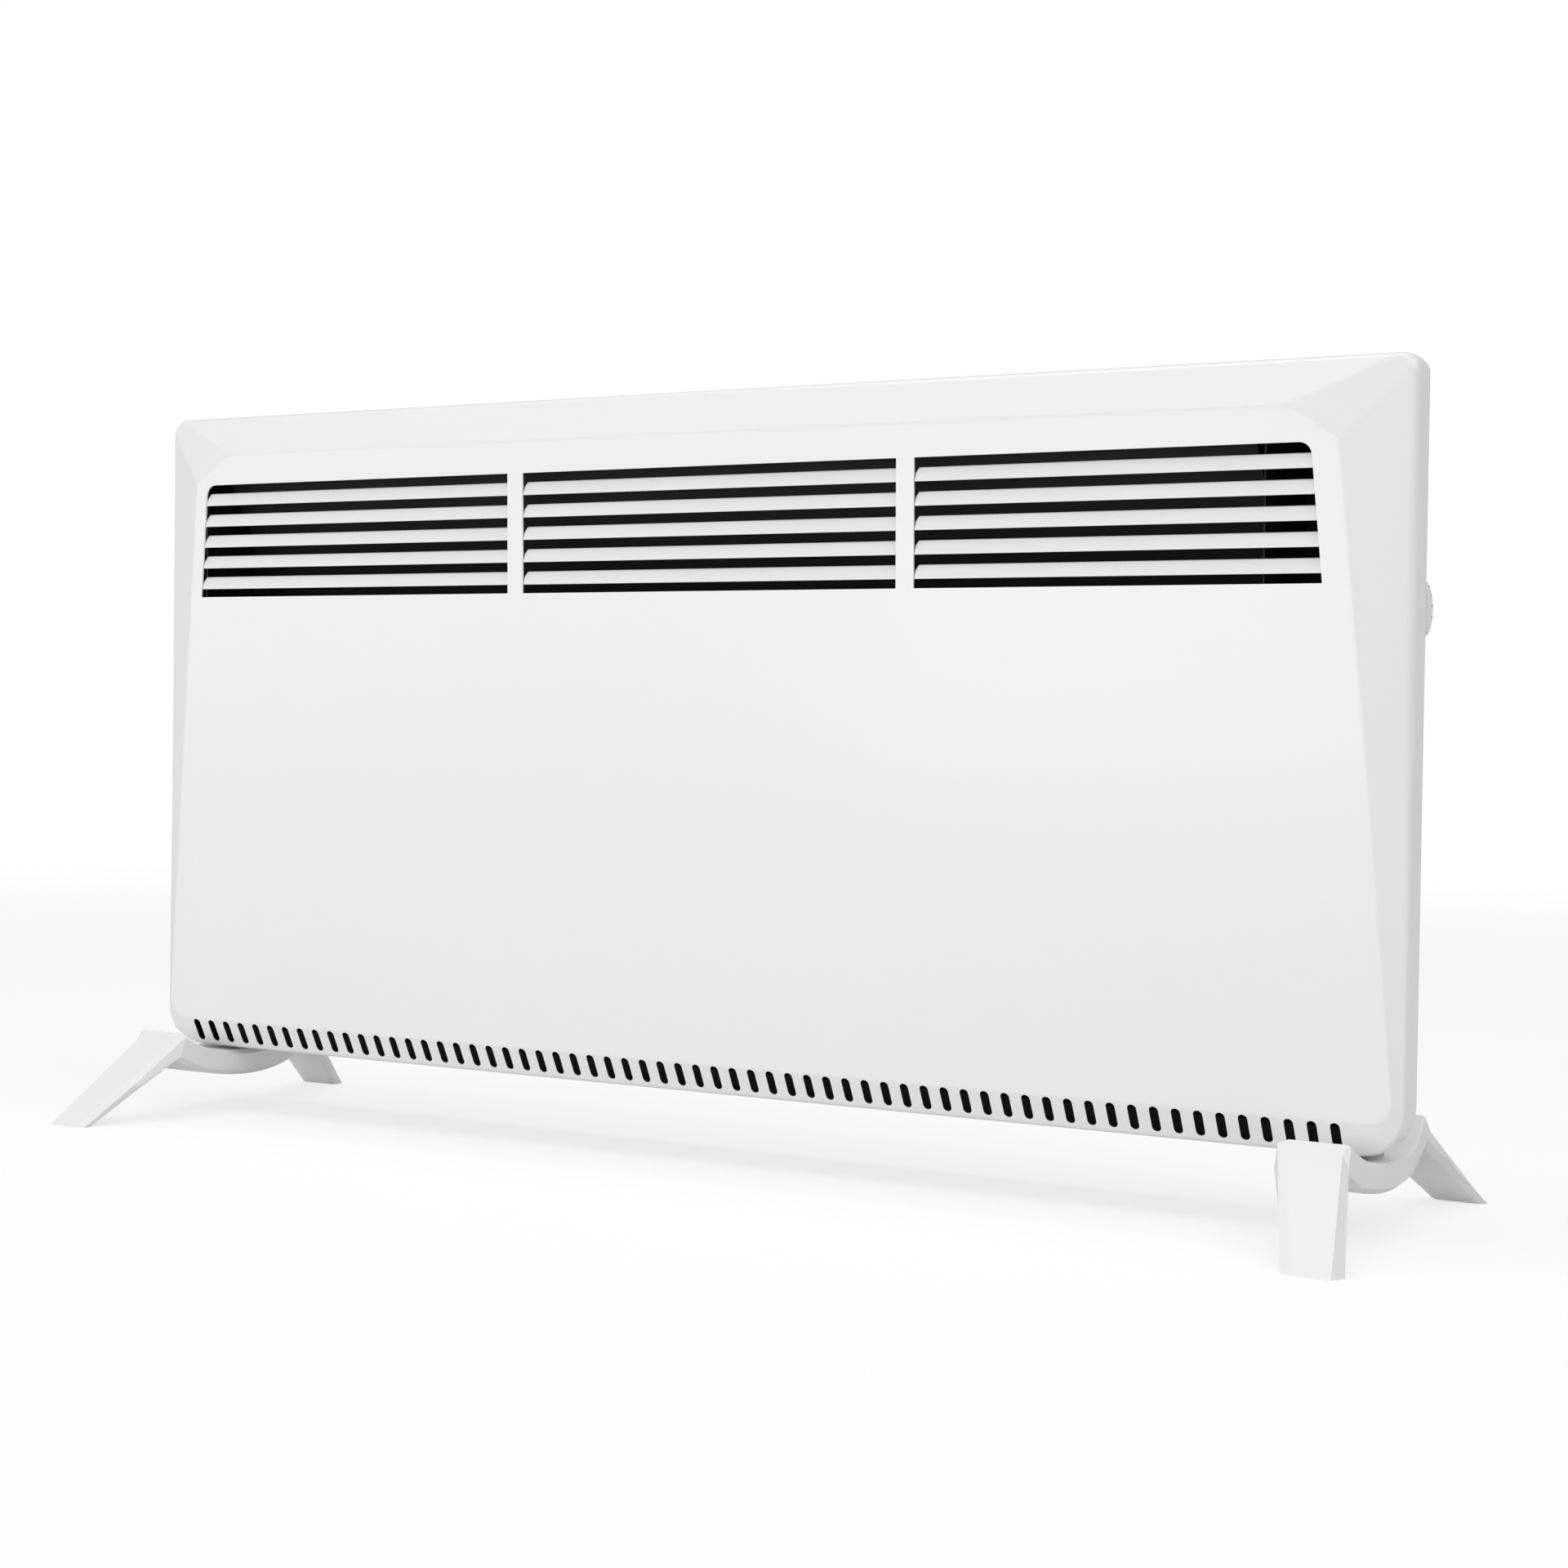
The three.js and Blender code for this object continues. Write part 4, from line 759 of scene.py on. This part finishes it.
grilleHigh = upperCrease - grille["top"]
grilleLow = grilleHigh - (grille["rows"] - 1) * grille["pitch"] - grille["gap"]


def groupEnds(z):
    inner = grille["centreHalf"] + grille["bar"]
    return [
        (-creaseX(z, casing["leftBevel"]) + grille["leftMargin"], -inner),
        (-grille["centreHalf"], grille["centreHalf"]),
        (inner, creaseX(z, casing["rightBevel"]) - grille["rightMargin"]),
    ]


def grilleWindows():
    windows = []
    soft, sharp = grille["cornerRadius"], grille["sharpCorner"]
    for i, (lowEnds, highEnds) in enumerate(zip(groupEnds(grilleLow), groupEnds(grilleHigh))):
        outline = roundedLoop([
            (lowEnds[0], grilleLow, sharp), (lowEnds[1], grilleLow, sharp),
            (highEnds[1], grilleHigh, soft if i == 2 else sharp),
            (highEnds[0], grilleHigh, soft if i == 0 else sharp),
        ], 6)
        window = prism("grilleWindow", outline, placer("y"), [share * rimY for share in grille["cutDepths"]])
        windows.append(dress(window, "casingPaint"))
    return windows


def slatForm(left, right):
    # one slat under the first gap: a sheet that leans in, with both long edges turned back
    low = grilleHigh - grille["pitch"]
    high = low + grille["pitch"] - grille["gap"]
    lip = grille["lip"]
    clip, length = grille["clipShape"], grille["clipLength"]
    stations = [(left + share * length, drop) for share, drop in clip]
    stations += [(right - share * length, drop) for share, drop in reversed(clip)]
    sections = []
    for x, drop in stations:
        top = high - drop * grille["clip"]
        depth = grille["lean"] * (top - low) / (high - low)
        sections.append(filletPath([
            (x, faceY(low) + lip, low + grille["lowLip"]), (x, faceY(low), low),
            (x, faceY(top) + depth, top), (x, faceY(top) + depth + lip, top - grille["topLip"]),
        ], (grille["lowBend"], grille["topBend"]), 4))
    count = len(sections[0])
    faces = [(s * count + i, (s + 1) * count + i, (s + 1) * count + i + 1, s * count + i + 1)
             for s in range(len(sections) - 1) for i in range(count - 1)]
    slat = outwards(meshObject("slat", [p for section in sections for p in section], faces))
    return evenShading(sheetOf(turnedTo(slat, -1), grille["slatSheet"], even=False), 50)


def grilleSlats():
    rows = grille["rows"] - 1
    groups = []
    firstRow, lastRow = grilleHigh - grille["pitch"], grilleHigh - rows * grille["pitch"]
    for (left, right), (lastLeft, lastRight) in zip(groupEnds(firstRow), groupEnds(lastRow)):
        fixed = right if abs(lastRight - right) < abs(lastLeft - left) else left
        length, lastLength = right - left, lastRight - lastLeft
        slat = slatForm(left + grille["tuck"], right - grille["tuck"])
        slat.data.transform(Matrix.Translation((-fixed, 0, 0)))
        pitch = (0, faceY(firstRow - grille["pitch"]) - faceY(firstRow), -grille["pitch"])
        groups.append(grow("slatGroup", copiesInRow, slat, "casingPaint", {
            "Count": rows, "Start": (fixed, 0, 0), "Pitch": pitch,
            "Growth": (lastLength / length - 1) / (rows - 1),
        }))
    return joined("grilleSlats", groups)


intake = {
    "pitch": 0.01238, "endSpace": 0.022, "shift": -0.004, "width": 0.0052, "low": 0.0036, "top": 0.0004,
    "depth": 0.012, "endRoundness": 0.98,
}


def intakeCutters():
    # a round-ended cutter set square to the slope, copied along it
    slope = math.hypot(casing["lowBevel"], casing["lowBevelDepth"])
    upright, across = casing["lowBevel"] / slope, casing["lowBevelDepth"] / slope
    length = (casing["lowBevel"] - intake["low"] - intake["top"]) / upright
    middle = (casing["lowBevel"] - intake["low"] + intake["top"]) / 2
    half, end, deep = intake["width"] / 2, length / 2, intake["depth"] / 2
    y, z = faceY(lowerCrease) + middle * across / upright, lowerCrease - middle

    def place(u, v, d):
        return (u, y - across * v - upright * d, z + upright * v - across * d)

    outline = roundedBox((-half, -end), (half, end), half * intake["endRoundness"], 4)
    # the cutters are dressed in the near-black painted shade
    return cutterRow(prism("intakeCutter", outline, place, (-deep, deep)), "innerCoat",
                     halfWidth - intake["endSpace"], intake["pitch"], intake["shift"])


coverScrews = [f"cover_screw_{i}" for i in range(1, 8)]
footScrews = [f"foot_screw_{side}_{end}" for side in ("left", "right") for end in ("front", "rear")]
bezelScrews = ["bezel_screw_lower", "bezel_screw_upper"]
screwHole = 0.0022
casingHoleReach = 0.004    # half length of the cutters


def frontCasing():
    shell = sheetOf(casingSkin(), casing["sheet"])
    holes = holesAt(coverScrews, "y", 0, casingHoleReach, screwHole)
    cutBy(shell, *grilleWindows(), intakeCutters(), joined("casingHoles", holes))
    evenShading(shell)
    mount(shell, "heater", "white_paint", "front_casing")
    slats = evenShading(grilleSlats(), 50)
    mount(slats, "heater", "white_paint")
    print("front casing ready:", len(shell.data.polygons), "faces")


cover = {
    "flangeInset": 0.003, "flangeSheet": 0.0012, "sideInset": 0.018, "topInset": 0.0175,
    "edgeBevel": 0.008, "cornerRadius": 0.014, "seat": 0.0003, "sheet": 0.0012,
    "rootRadius": 0.002, "bevelRadius": 0.003,
    "lowLift": 0.0004,       # the box's underside above the flange's lower edge
    "rearRadiusMore": 0.002,    # rear corners rounder than their inset gives
    "ring": 0.006, "ringRadius": 0.004,    # ring on the rear wall inside its crease
    "ventPitch": 0.020, "ventWidth": 0.009, "ventFront": 0.007, "ventLength": 0.024, "ventEnd": 0.040,
    "ventDepths": (-0.003, 0.004), "slotRadius": 0.002,
    "slotWidth": 0.032, "slotHeight": 0.011, "wallDepths": (-0.004, 0.002),
    "bezelOverlap": 0.0035, "bezelEnd": 0.012, "windowRadius": 0.0025,
    "glandRadius": 0.0078, "flangeLevel": 0.001,
    "shortReach": 0.003, "longReach": 0.004,    # half lengths of the holes' cutters
}

beads = {"heights": (0.12, 0.18, 0.24, 0.30), "halfLength": 0.28, "radius": 0.0065, "depth": 0.0014}


def pressBeads(skin, back):
    # long beads pressed into the rear wall: it is split along them, then pushed in
    radius, reach = beads["radius"], beads["halfLength"]
    steps = [radius * k / 4 for k in range(-4, 5)]
    planes = [((0, 0, z + step), (0, 0, 1)) for z in beads["heights"] for step in steps]
    planes += [((side * (reach + step), 0, 0), (1, 0, 0)) for side in (-1, 1) for step in steps[4:]]
    made = bmesh.new()
    made.from_mesh(skin.data)
    for place, normal in planes:
        wall = [face for face in made.faces if all(abs(vert.co.y - back) < 1e-6 for vert in face.verts)]
        rest = {part for face in wall for part in (*face.edges, *face.verts)}
        bmesh.ops.bisect_plane(made, geom=[*wall, *rest], dist=1e-6, plane_co=place, plane_no=normal)
    for vert in made.verts:
        if abs(vert.co.y - back) < 1e-6:
            aside = max(0.0, abs(vert.co.x) - reach)
            away = min(math.hypot(aside, vert.co.z - z) for z in beads["heights"]) / radius
            vert.co.y -= beads["depth"] * (1 + math.cos(math.pi * min(away, 1))) / 2
    made.to_mesh(skin.data)
    made.free()


def coverLoop(half, low, top, lowRadius, topRadius):
    right = [(half, low, lowRadius), (half, top, topRadius)]
    return roundedLoop(bothSides(right, right), 6, (12, 12, 12, 12))


def rearCover():
    low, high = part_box("rear_cover")
    half = halfWidth - cover["sideInset"]
    top = casingHigh.z - cover["topInset"]
    bottom, back = low.z, high.y
    bevel, radius = cover["edgeBevel"], cover["cornerRadius"]
    flangeY = cover["seat"] + cover["flangeSheet"]
    edge = coverLoop(high.x, bottom, high.z, casing["lowCorner"] - cover["flangeInset"],
                     casing["topCornerRadius"] - cover["flangeInset"])
    root = coverLoop(half, bottom + cover["lowLift"], top, radius, radius)
    rearRadius = radius - bevel + cover["rearRadiusMore"]
    rear = coverLoop(half - bevel, bottom + bevel, top - bevel, rearRadius, rearRadius)
    ring = cover["ring"]
    middle = coverLoop(half - bevel - ring, bottom + bevel + ring, top - bevel - ring,
                       cover["ringRadius"], cover["ringRadius"])
    sections = []
    for a, b, c, d in zip(edge, root, rear, middle):
        sections.append(filletPath([
            (a.x, flangeY, a.y), (b.x, flangeY, b.y), (b.x, back - bevel, b.y), (c.x, back, c.y),
            (d.x, back, d.y),
        ], (cover["rootRadius"], cover["bevelRadius"], cover["bevelRadius"]), 4))
    skin = skinOf("rearShell", sections, 1, capLast=True)
    pressBeads(skin, back)
    sheetOf(skin, cover["sheet"])
    cutBy(skin, *coverCutters(half, bottom, back))
    evenShading(skin)
    mount(skin, "heater", "white_paint", "rear_cover")
    print("rear cover ready:", len(skin.data.polygons), "faces")


def coverCutters(half, bottom, back):
    wide, front = cover["ventWidth"] / 2, cover["ventFront"]
    vent = roundedBox((-wide, front), (wide, front + cover["ventLength"]), cover["slotRadius"], 4)
    depths = [bottom + depth for depth in cover["ventDepths"]]
    cutters = [cutterRow(prism("ventCutter", vent, placer("z"), depths), "casingPaint",
                         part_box("foot_right")[0].x - cover["ventEnd"], cover["ventPitch"])]
    wide, tall = cover["slotWidth"] / 2, cover["slotHeight"] / 2
    for side in ("left", "right"):
        spot = middleOf(f"hanger_plate_{side}")
        low, high = (spot.x - wide, spot.z - tall), (spot.x + wide, spot.z + tall)
        cutters.append(prism("hangingSlot", roundedBox(low, high, cover["slotRadius"], 3), placer("y"),
                             [back + depth for depth in cover["wallDepths"]]))
    bezelLow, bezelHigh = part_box("control_bezel")
    inset, end = cover["bezelOverlap"], cover["bezelEnd"]
    window = roundedBox((bezelLow.y + inset, bezelLow.z + end), (bezelHigh.y - inset, bezelHigh.z - end),
                        cover["windowRadius"], 3)
    depths = [half + depth for depth in cover["wallDepths"]]
    cutters.append(prism("controlWindow", window, placer("x"), depths))
    short, long = cover["shortReach"], cover["longReach"]
    holes = holesAt(coverScrews, "y", cover["flangeLevel"], short, screwHole)
    holes += holesAt(footScrews, "z", bottom, long, screwHole)
    holes += holesAt(bezelScrews, "x", half, short, screwHole)
    holes += holesAt(["cord_gland"], "y", back, long, cover["glandRadius"])
    return [*cutters, joined("coverHoles", holes)]


feet = {
    "bowlHalf": 0.048, "bowlRise": 0.006, "kneeY": 0.060, "kneeInnerY": 0.066,
    "hubTopDrop": 0.002, "hubHeight": 0.016, "kneeRise": 0.013, "kneeInnerDrop": 0.004,
    "toeInnerY": 0.115, "toeLength": 0.011, "hubWidth": 0.038, "hubInset": 0.014, "toeWidth": 0.0305,
    "hubBulge": 0.005,       # hub's sides stand out between the knees
    "hubSteps": 9,
    "legShares": (0.08, 0.5, 0.97, 1),   # sections between the knee and the toe
    # chamfers as (across, through) on the edges of the section
    "lowChamfer": (0.004, 0.0032), "outerChamfer": (0.0016, 0.0012), "innerChamfer": (0.0055, 0.0024),
    "legChamfer": (0.0042, 0.0070),      # outer front edge of the legs
    "rounding": 0.0012, "bossFront": 0.004, "bossLength": 0.026, "bossMargin": 0.004,
    "bossRoot": 0.003, "bossGap": 0.0003,    # into the hub, and below the rear cover
    "screwSink": 0.008, "headRadius": 0.0043,
    "holeMiddle": 0.03,      # the screw holes' cutters go from the floor to twice this
}


def footStations():
    # from the hub's middle to the toe: bulge, share of the way to the toe, and the section's
    # lower and upper ends as (y, z)
    hubTop = casingLow.z - feet["hubTopDrop"]
    hubLow = hubTop - feet["hubHeight"]
    kneeY, kneeInnerY = feet["kneeY"], feet["kneeInnerY"]
    kneeTop, kneeInner = casingLow.z + feet["kneeRise"], casingLow.z - feet["kneeInnerDrop"]
    radius = (feet["bowlHalf"] ** 2 + feet["bowlRise"] ** 2) / (2 * feet["bowlRise"])
    stations = []
    for i in range(feet["hubSteps"] + 1):
        share = i / feet["hubSteps"]
        upper = (kneeY * share, between(hubTop, kneeTop, share ** 3))
        y = feet["bowlHalf"] * share
        lower = (y, hubLow + radius - math.sqrt(radius ** 2 - y ** 2))
        if i == feet["hubSteps"]:
            lower = (kneeInnerY, kneeInner)
        stations.append((feet["hubBulge"] * (1 - share ** 2), 0, lower, upper))
    for share in feet["legShares"]:
        lower = (between(kneeInnerY, feet["toeInnerY"], share), kneeInner * (1 - share))
        upper = (between(kneeY, feet["toeInnerY"] + feet["toeLength"], share), kneeTop * (1 - share))
        stations.append((0, share, lower, upper))
    return stations


def footSection(side, along, bulge, share, lower, upper):
    # an octagon; through it goes from the lower to the upper edge of the leg
    hubOuter, hubWidth = halfWidth - feet["hubInset"], feet["hubWidth"]
    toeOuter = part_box("foot_right")[1].x
    outer = hubOuter + bulge + (toeOuter - hubOuter) * share
    inner = hubOuter - hubWidth - bulge + (toeOuter - feet["toeWidth"] - hubOuter + hubWidth) * share
    low, high = Vector((0, along * lower[0], lower[1])), Vector((0, along * upper[0], upper[1]))
    thickness = (high - low).length
    (lowX, lowT), (inX, inT) = feet["lowChamfer"], feet["innerChamfer"]
    outX, outT = feet["legChamfer"] if share > 0 else feet["outerChamfer"]
    corners = []
    for x, t in ((inner + lowX, 0), (outer - lowX, 0), (outer, lowT), (outer, thickness - outT),
                 (outer - outX, thickness), (inner + inX, thickness), (inner, thickness - inT),
                 (inner, lowT)):
        point = low.lerp(high, t / thickness)
        corners.append((side * x, point.y, point.z))
    return corners


def footForm(side, sideName):
    stations = footStations()
    rings = [footSection(side, -1, *station) for station in reversed(stations[1:])]
    rings += [footSection(side, 1, *station) for station in stations]
    form = lofted("foot" + sideName.title(), rings, True, True)
    hubOuter = halfWidth - feet["hubInset"]
    margin, hubTop = feet["bossMargin"], casingLow.z - feet["hubTopDrop"]
    left, right = sorted((side * (hubOuter - feet["hubWidth"] + margin), side * (hubOuter - margin)))
    front, high = feet["bossFront"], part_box("rear_cover")[0].z - feet["bossGap"]
    boss = boxForm("boss", (left, front, hubTop - feet["bossRoot"]),
                   (right, front + feet["bossLength"], high))
    cutBy(form, boss, operation="UNION")
    bevelled(form, feet["rounding"], 3, 20)
    middle, seat = feet["holeMiddle"], (hubTop - feet["screwSink"]) / 2
    for end in ("front", "rear"):
        screw = [f"foot_screw_{sideName}_{end}"]
        cutBy(form, *holesAt(screw, "z", middle, middle, screwHole),
              *holesAt(screw, "z", seat, seat, feet["headRadius"]))
    evenShading(dress(form, "whiteMoulding"), 34)
    mount(form, "heater", "white_plastic", f"foot_{sideName}")


axisRadius = 0.0001    # turned profiles start and end this far from their axis

screws = {
    "shank": 0.0019, "headRadius": 0.004, "headHeight": 0.002,
    "tip": (0.0009, 0.001),  # narrower by, over this length
    "headShape": ((1, 0.5), (0.93, 0.72), (0.78, 0.9), (0.5, 1)),   # shares of its radius and height
    "headEdge": 0.0002, "slot": 0.0009, "slotReach": 0.0024, "slotDepth": 0.0012,
    "coverLength": 0.008, "footLength": 0.020, "bezelLength": 0.009,
}


def screwForm(length):
    # pan head on Z = 0 with a cross recess, shank below
    shank, radius, high = screws["shank"], screws["headRadius"], screws["headHeight"]
    narrower, tip = screws["tip"]
    profile = [(axisRadius, -length), (shank - narrower, -length), (shank, tip - length),
               (shank, -axisRadius), (radius - axisRadius, 0), (radius, screws["headEdge"])]
    profile += [(radius * across, high * up) for across, up in screws["headShape"]]
    form = turnedForm("screw", [*profile, (axisRadius, high)], 24, placer("z"))
    for across, along in ((screws["slot"], screws["slotReach"]), (screws["slotReach"], screws["slot"])):
        cutBy(form, boxForm("recess", (-across / 2, -along / 2, high - screws["slotDepth"]),
                            (across / 2, along / 2, high + 0.001)))
    return evenShading(dress(form, "brightZinc"), 35)


def screwSet(name, nodes, length, turn, axis, seatEnd, sink):
    # one tree copies the screw to every place; its seat is a head's height inside one end of the solid's box
    places = []
    for node in nodes:
        spot = middleOf(node)
        spot[axis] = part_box(node)[seatEnd][axis] + sink
        places.append(spot)
    made = grow(name, copiesAtPlaces, screwForm(length), "brightZinc", {"Turn": turn}, places)
    mount(evenShading(made, 35), "heater", "screw_steel", *nodes)


def allScrews():
    head, quarter = screws["headHeight"], math.pi / 2
    screwSet("coverScrews", coverScrews, screws["coverLength"], (-quarter, 0, 0), 1, 1, -head)
    screwSet("footScrews", footScrews, screws["footLength"], (math.pi, 0, 0), 2, 0, head)
    screwSet("bezelScrews", bezelScrews, screws["bezelLength"], (0, quarter, 0), 0, 1, -head)
    print("screws ready")


controls = {
    "bezelRounding": 0.0012, "bezelCorner": 0.006,
    "switchMargin": 0.0009,  # the switch's frame in front is wider than the body behind it
    "switchReach": 0.002, "holeReach": 0.008, "lampHole": 0.0029, "shaftHole": 0.0033,
    "headHole": 0.0043, "headSink": 0.002,
    "knobRadius": 0.0152, "knobSkirtRadius": 0.0115, "knobSkirt": 0.0028, "knobEdge": 0.0011,
    "knobSoft": 0.0003, "knobStep": 0.0002,
    "ribCount": 44, "ribRadius": 0.0004,
    "gripHalf": 0.011, "gripWidth": 0.005, "gripHeight": 0.0024, "gripRounding": 0.0009,
    "gripEnds": 0.9, "gripRoot": 0.001,
    "markCount": 11, "markSweep": 270, "markIn": 0.0118, "markOut": 0.0136, "markWidth": 0.0006,
    "markRoot": 0.0003, "markProud": 0.00012,
    "indexIn": 0.0162, "indexOut": 0.0192, "indexWidth": 0.0009, "indexProud": 0.00005,
}


def controlBezel():
    low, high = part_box("control_bezel")
    outline = roundedBox((low.y, low.z), (high.y, high.z), controls["bezelCorner"], 6)
    plate = prism("controlBezel", outline, placer("x"), (low.x, high.x))
    bevelled(plate, controls["bezelRounding"], 3, 60)
    margin, through, reach = 2 * controls["switchMargin"], controls["switchReach"], controls["holeReach"]
    for name in ("upper", "lower"):
        switchLow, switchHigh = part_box(f"switch_body_{name}")
        cutBy(plate, boxForm("switchHole", (low.x - through, switchLow.y + margin, switchLow.z + margin),
                             (high.x + through, switchHigh.y - margin, switchHigh.z - margin)))
    cutBy(plate, *holesAt(["indicator_lamp"], "x", high.x, reach, controls["lampHole"]),
          *holesAt(["thermostat_shaft"], "x", high.x, reach, controls["shaftHole"]))
    for screw in bezelScrews:
        cutBy(plate, *holesAt([screw], "x", high.x, reach, screwHole),
              *holesAt([screw], "x", high.x, controls["headSink"], controls["headHole"]))
    evenShading(dress(plate, "whiteMoulding"), 34)
    mount(plate, "heater", "white_plastic", "control_bezel")


def knobBase():
    low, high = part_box("thermostat_knob")
    base = (low + high) / 2
    base.x = low.x
    return base, high.x - low.x


def thermostatKnob():
    base, height = knobBase()
    radius, edge = controls["knobRadius"] - controls["ribRadius"], controls["knobEdge"]
    capHigh = height - controls["gripHeight"]
    skirt, skirtRadius = controls["knobSkirt"], controls["knobSkirtRadius"]
    soft, step = controls["knobSoft"], controls["knobStep"]
    profile = [(axisRadius, 0), (skirtRadius, 0), (skirtRadius - soft, skirt - step),
               (skirtRadius, skirt), (radius - soft, skirt), (radius, skirt + soft), (radius, capHigh - edge),
               (radius - edge * 0.29, capHigh - edge * 0.29), (radius - edge, capHigh),
               (radius - edge * 1.6, capHigh + axisRadius), (axisRadius, capHigh - step)]
    cap = turnedForm("knobCap", profile, 96, placer("x", base))
    half, width = controls["gripHalf"], controls["gripWidth"] / 2
    # the bar stands upright at rest, as its solid does
    outline = roundedBox((-width, -half), (width, half), width * controls["gripEnds"], 6)
    grip = prism("knobGrip", outline, placer("x", base), (capHigh - controls["gripRoot"], height))
    bevelled(grip, controls["gripRounding"], 4, 50)
    for form in (cap, grip):
        evenShading(dress(form, "whiteMoulding"), 40)
    ribRadius = controls["ribRadius"]
    rib = turnedForm("knobRib", [(axisRadius, skirt + step), (ribRadius, skirt + 2 * step),
                                 (ribRadius, capHigh - edge - step), (axisRadius, capHigh - edge)],
                     8, placer("x", (0, radius, 0)))
    ribs = grow("knobRibs", copiesRound, rib, "whiteMoulding", {
        "Count": controls["ribCount"], "Centre": base, "Step": 360 / controls["ribCount"]})
    knob = joined("thermostatKnob", [cap, grip, evenShading(ribs, 50)])
    mount(knob, "knob", "white_plastic", "thermostat_knob")


def dialMarks():
    # plain marks on the knob's face, which turn past a fixed line above it
    base, height = knobBase()
    face, root = height - controls["gripHeight"], controls["markRoot"]
    half = controls["markWidth"] / 2
    mark = boxForm("mark", (face - root, -half, controls["markIn"]),
                   (face + controls["markProud"], half, controls["markOut"]))
    marks = grow("dialMarks", copiesRound, mark, "darkMoulding", {
        "Count": controls["markCount"], "Centre": base,
        "Step": -controls["markSweep"] / (controls["markCount"] - 1)})
    mount(marks, "knob", "dark_plastic")
    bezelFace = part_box("control_bezel")[1].x
    half = controls["indexWidth"] / 2
    line = boxForm("dialIndex", (bezelFace - root, base.y - half, base.z + controls["indexIn"]),
                   (bezelFace + controls["indexProud"], base.y + half, base.z + controls["indexOut"]))
    mount(dress(line, "darkMoulding"), "heater", "dark_plastic")


nodeFinishes = {
    # solids that are seen as they are, by the start of their names
    "zincSheet": ("hanger_plate", "element_rod", "element_bracket", "heat_shield", "cutout_bracket",
                  "thermostat_shaft"),
    # the deflector and the partition are painted near black as painted shade, in place of their own finish
    "innerCoat": ("air_deflector", "control_partition"),
    "extrudedAluminium": ("element_bar_",),
    "unglazedCeramic": ("ceramic_bush", "terminal_block"),
    "darkMoulding": ("thermal_cutout", "thermostat_body", "switch_body", "rocker_key", "tilt_switch",
                     "cord_gland"),
    "lampGlass": ("indicator_lamp",),
    "leadSleeve": ("element_link", "supply_lead", "element_lead"),
}


def dressNodes():
    count = 0
    for name, starts in nodeFinishes.items():
        for node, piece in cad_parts.items():
            if node.startswith(starts):
                dress(piece, name)
                count += 1
    print("solids dressed:", count)


addCamera()
addLamps()
addWorld()
addFloor()
print("studio ready")
frontCasing()
rearCover()
footForm(-1, "left")
footForm(1, "right")
print("feet ready")
allScrews()
controlBezel()
thermostatKnob()
dialMarks()
print("controls ready")
dressNodes()

bpy.context.scene.view_settings.view_transform = "Standard"
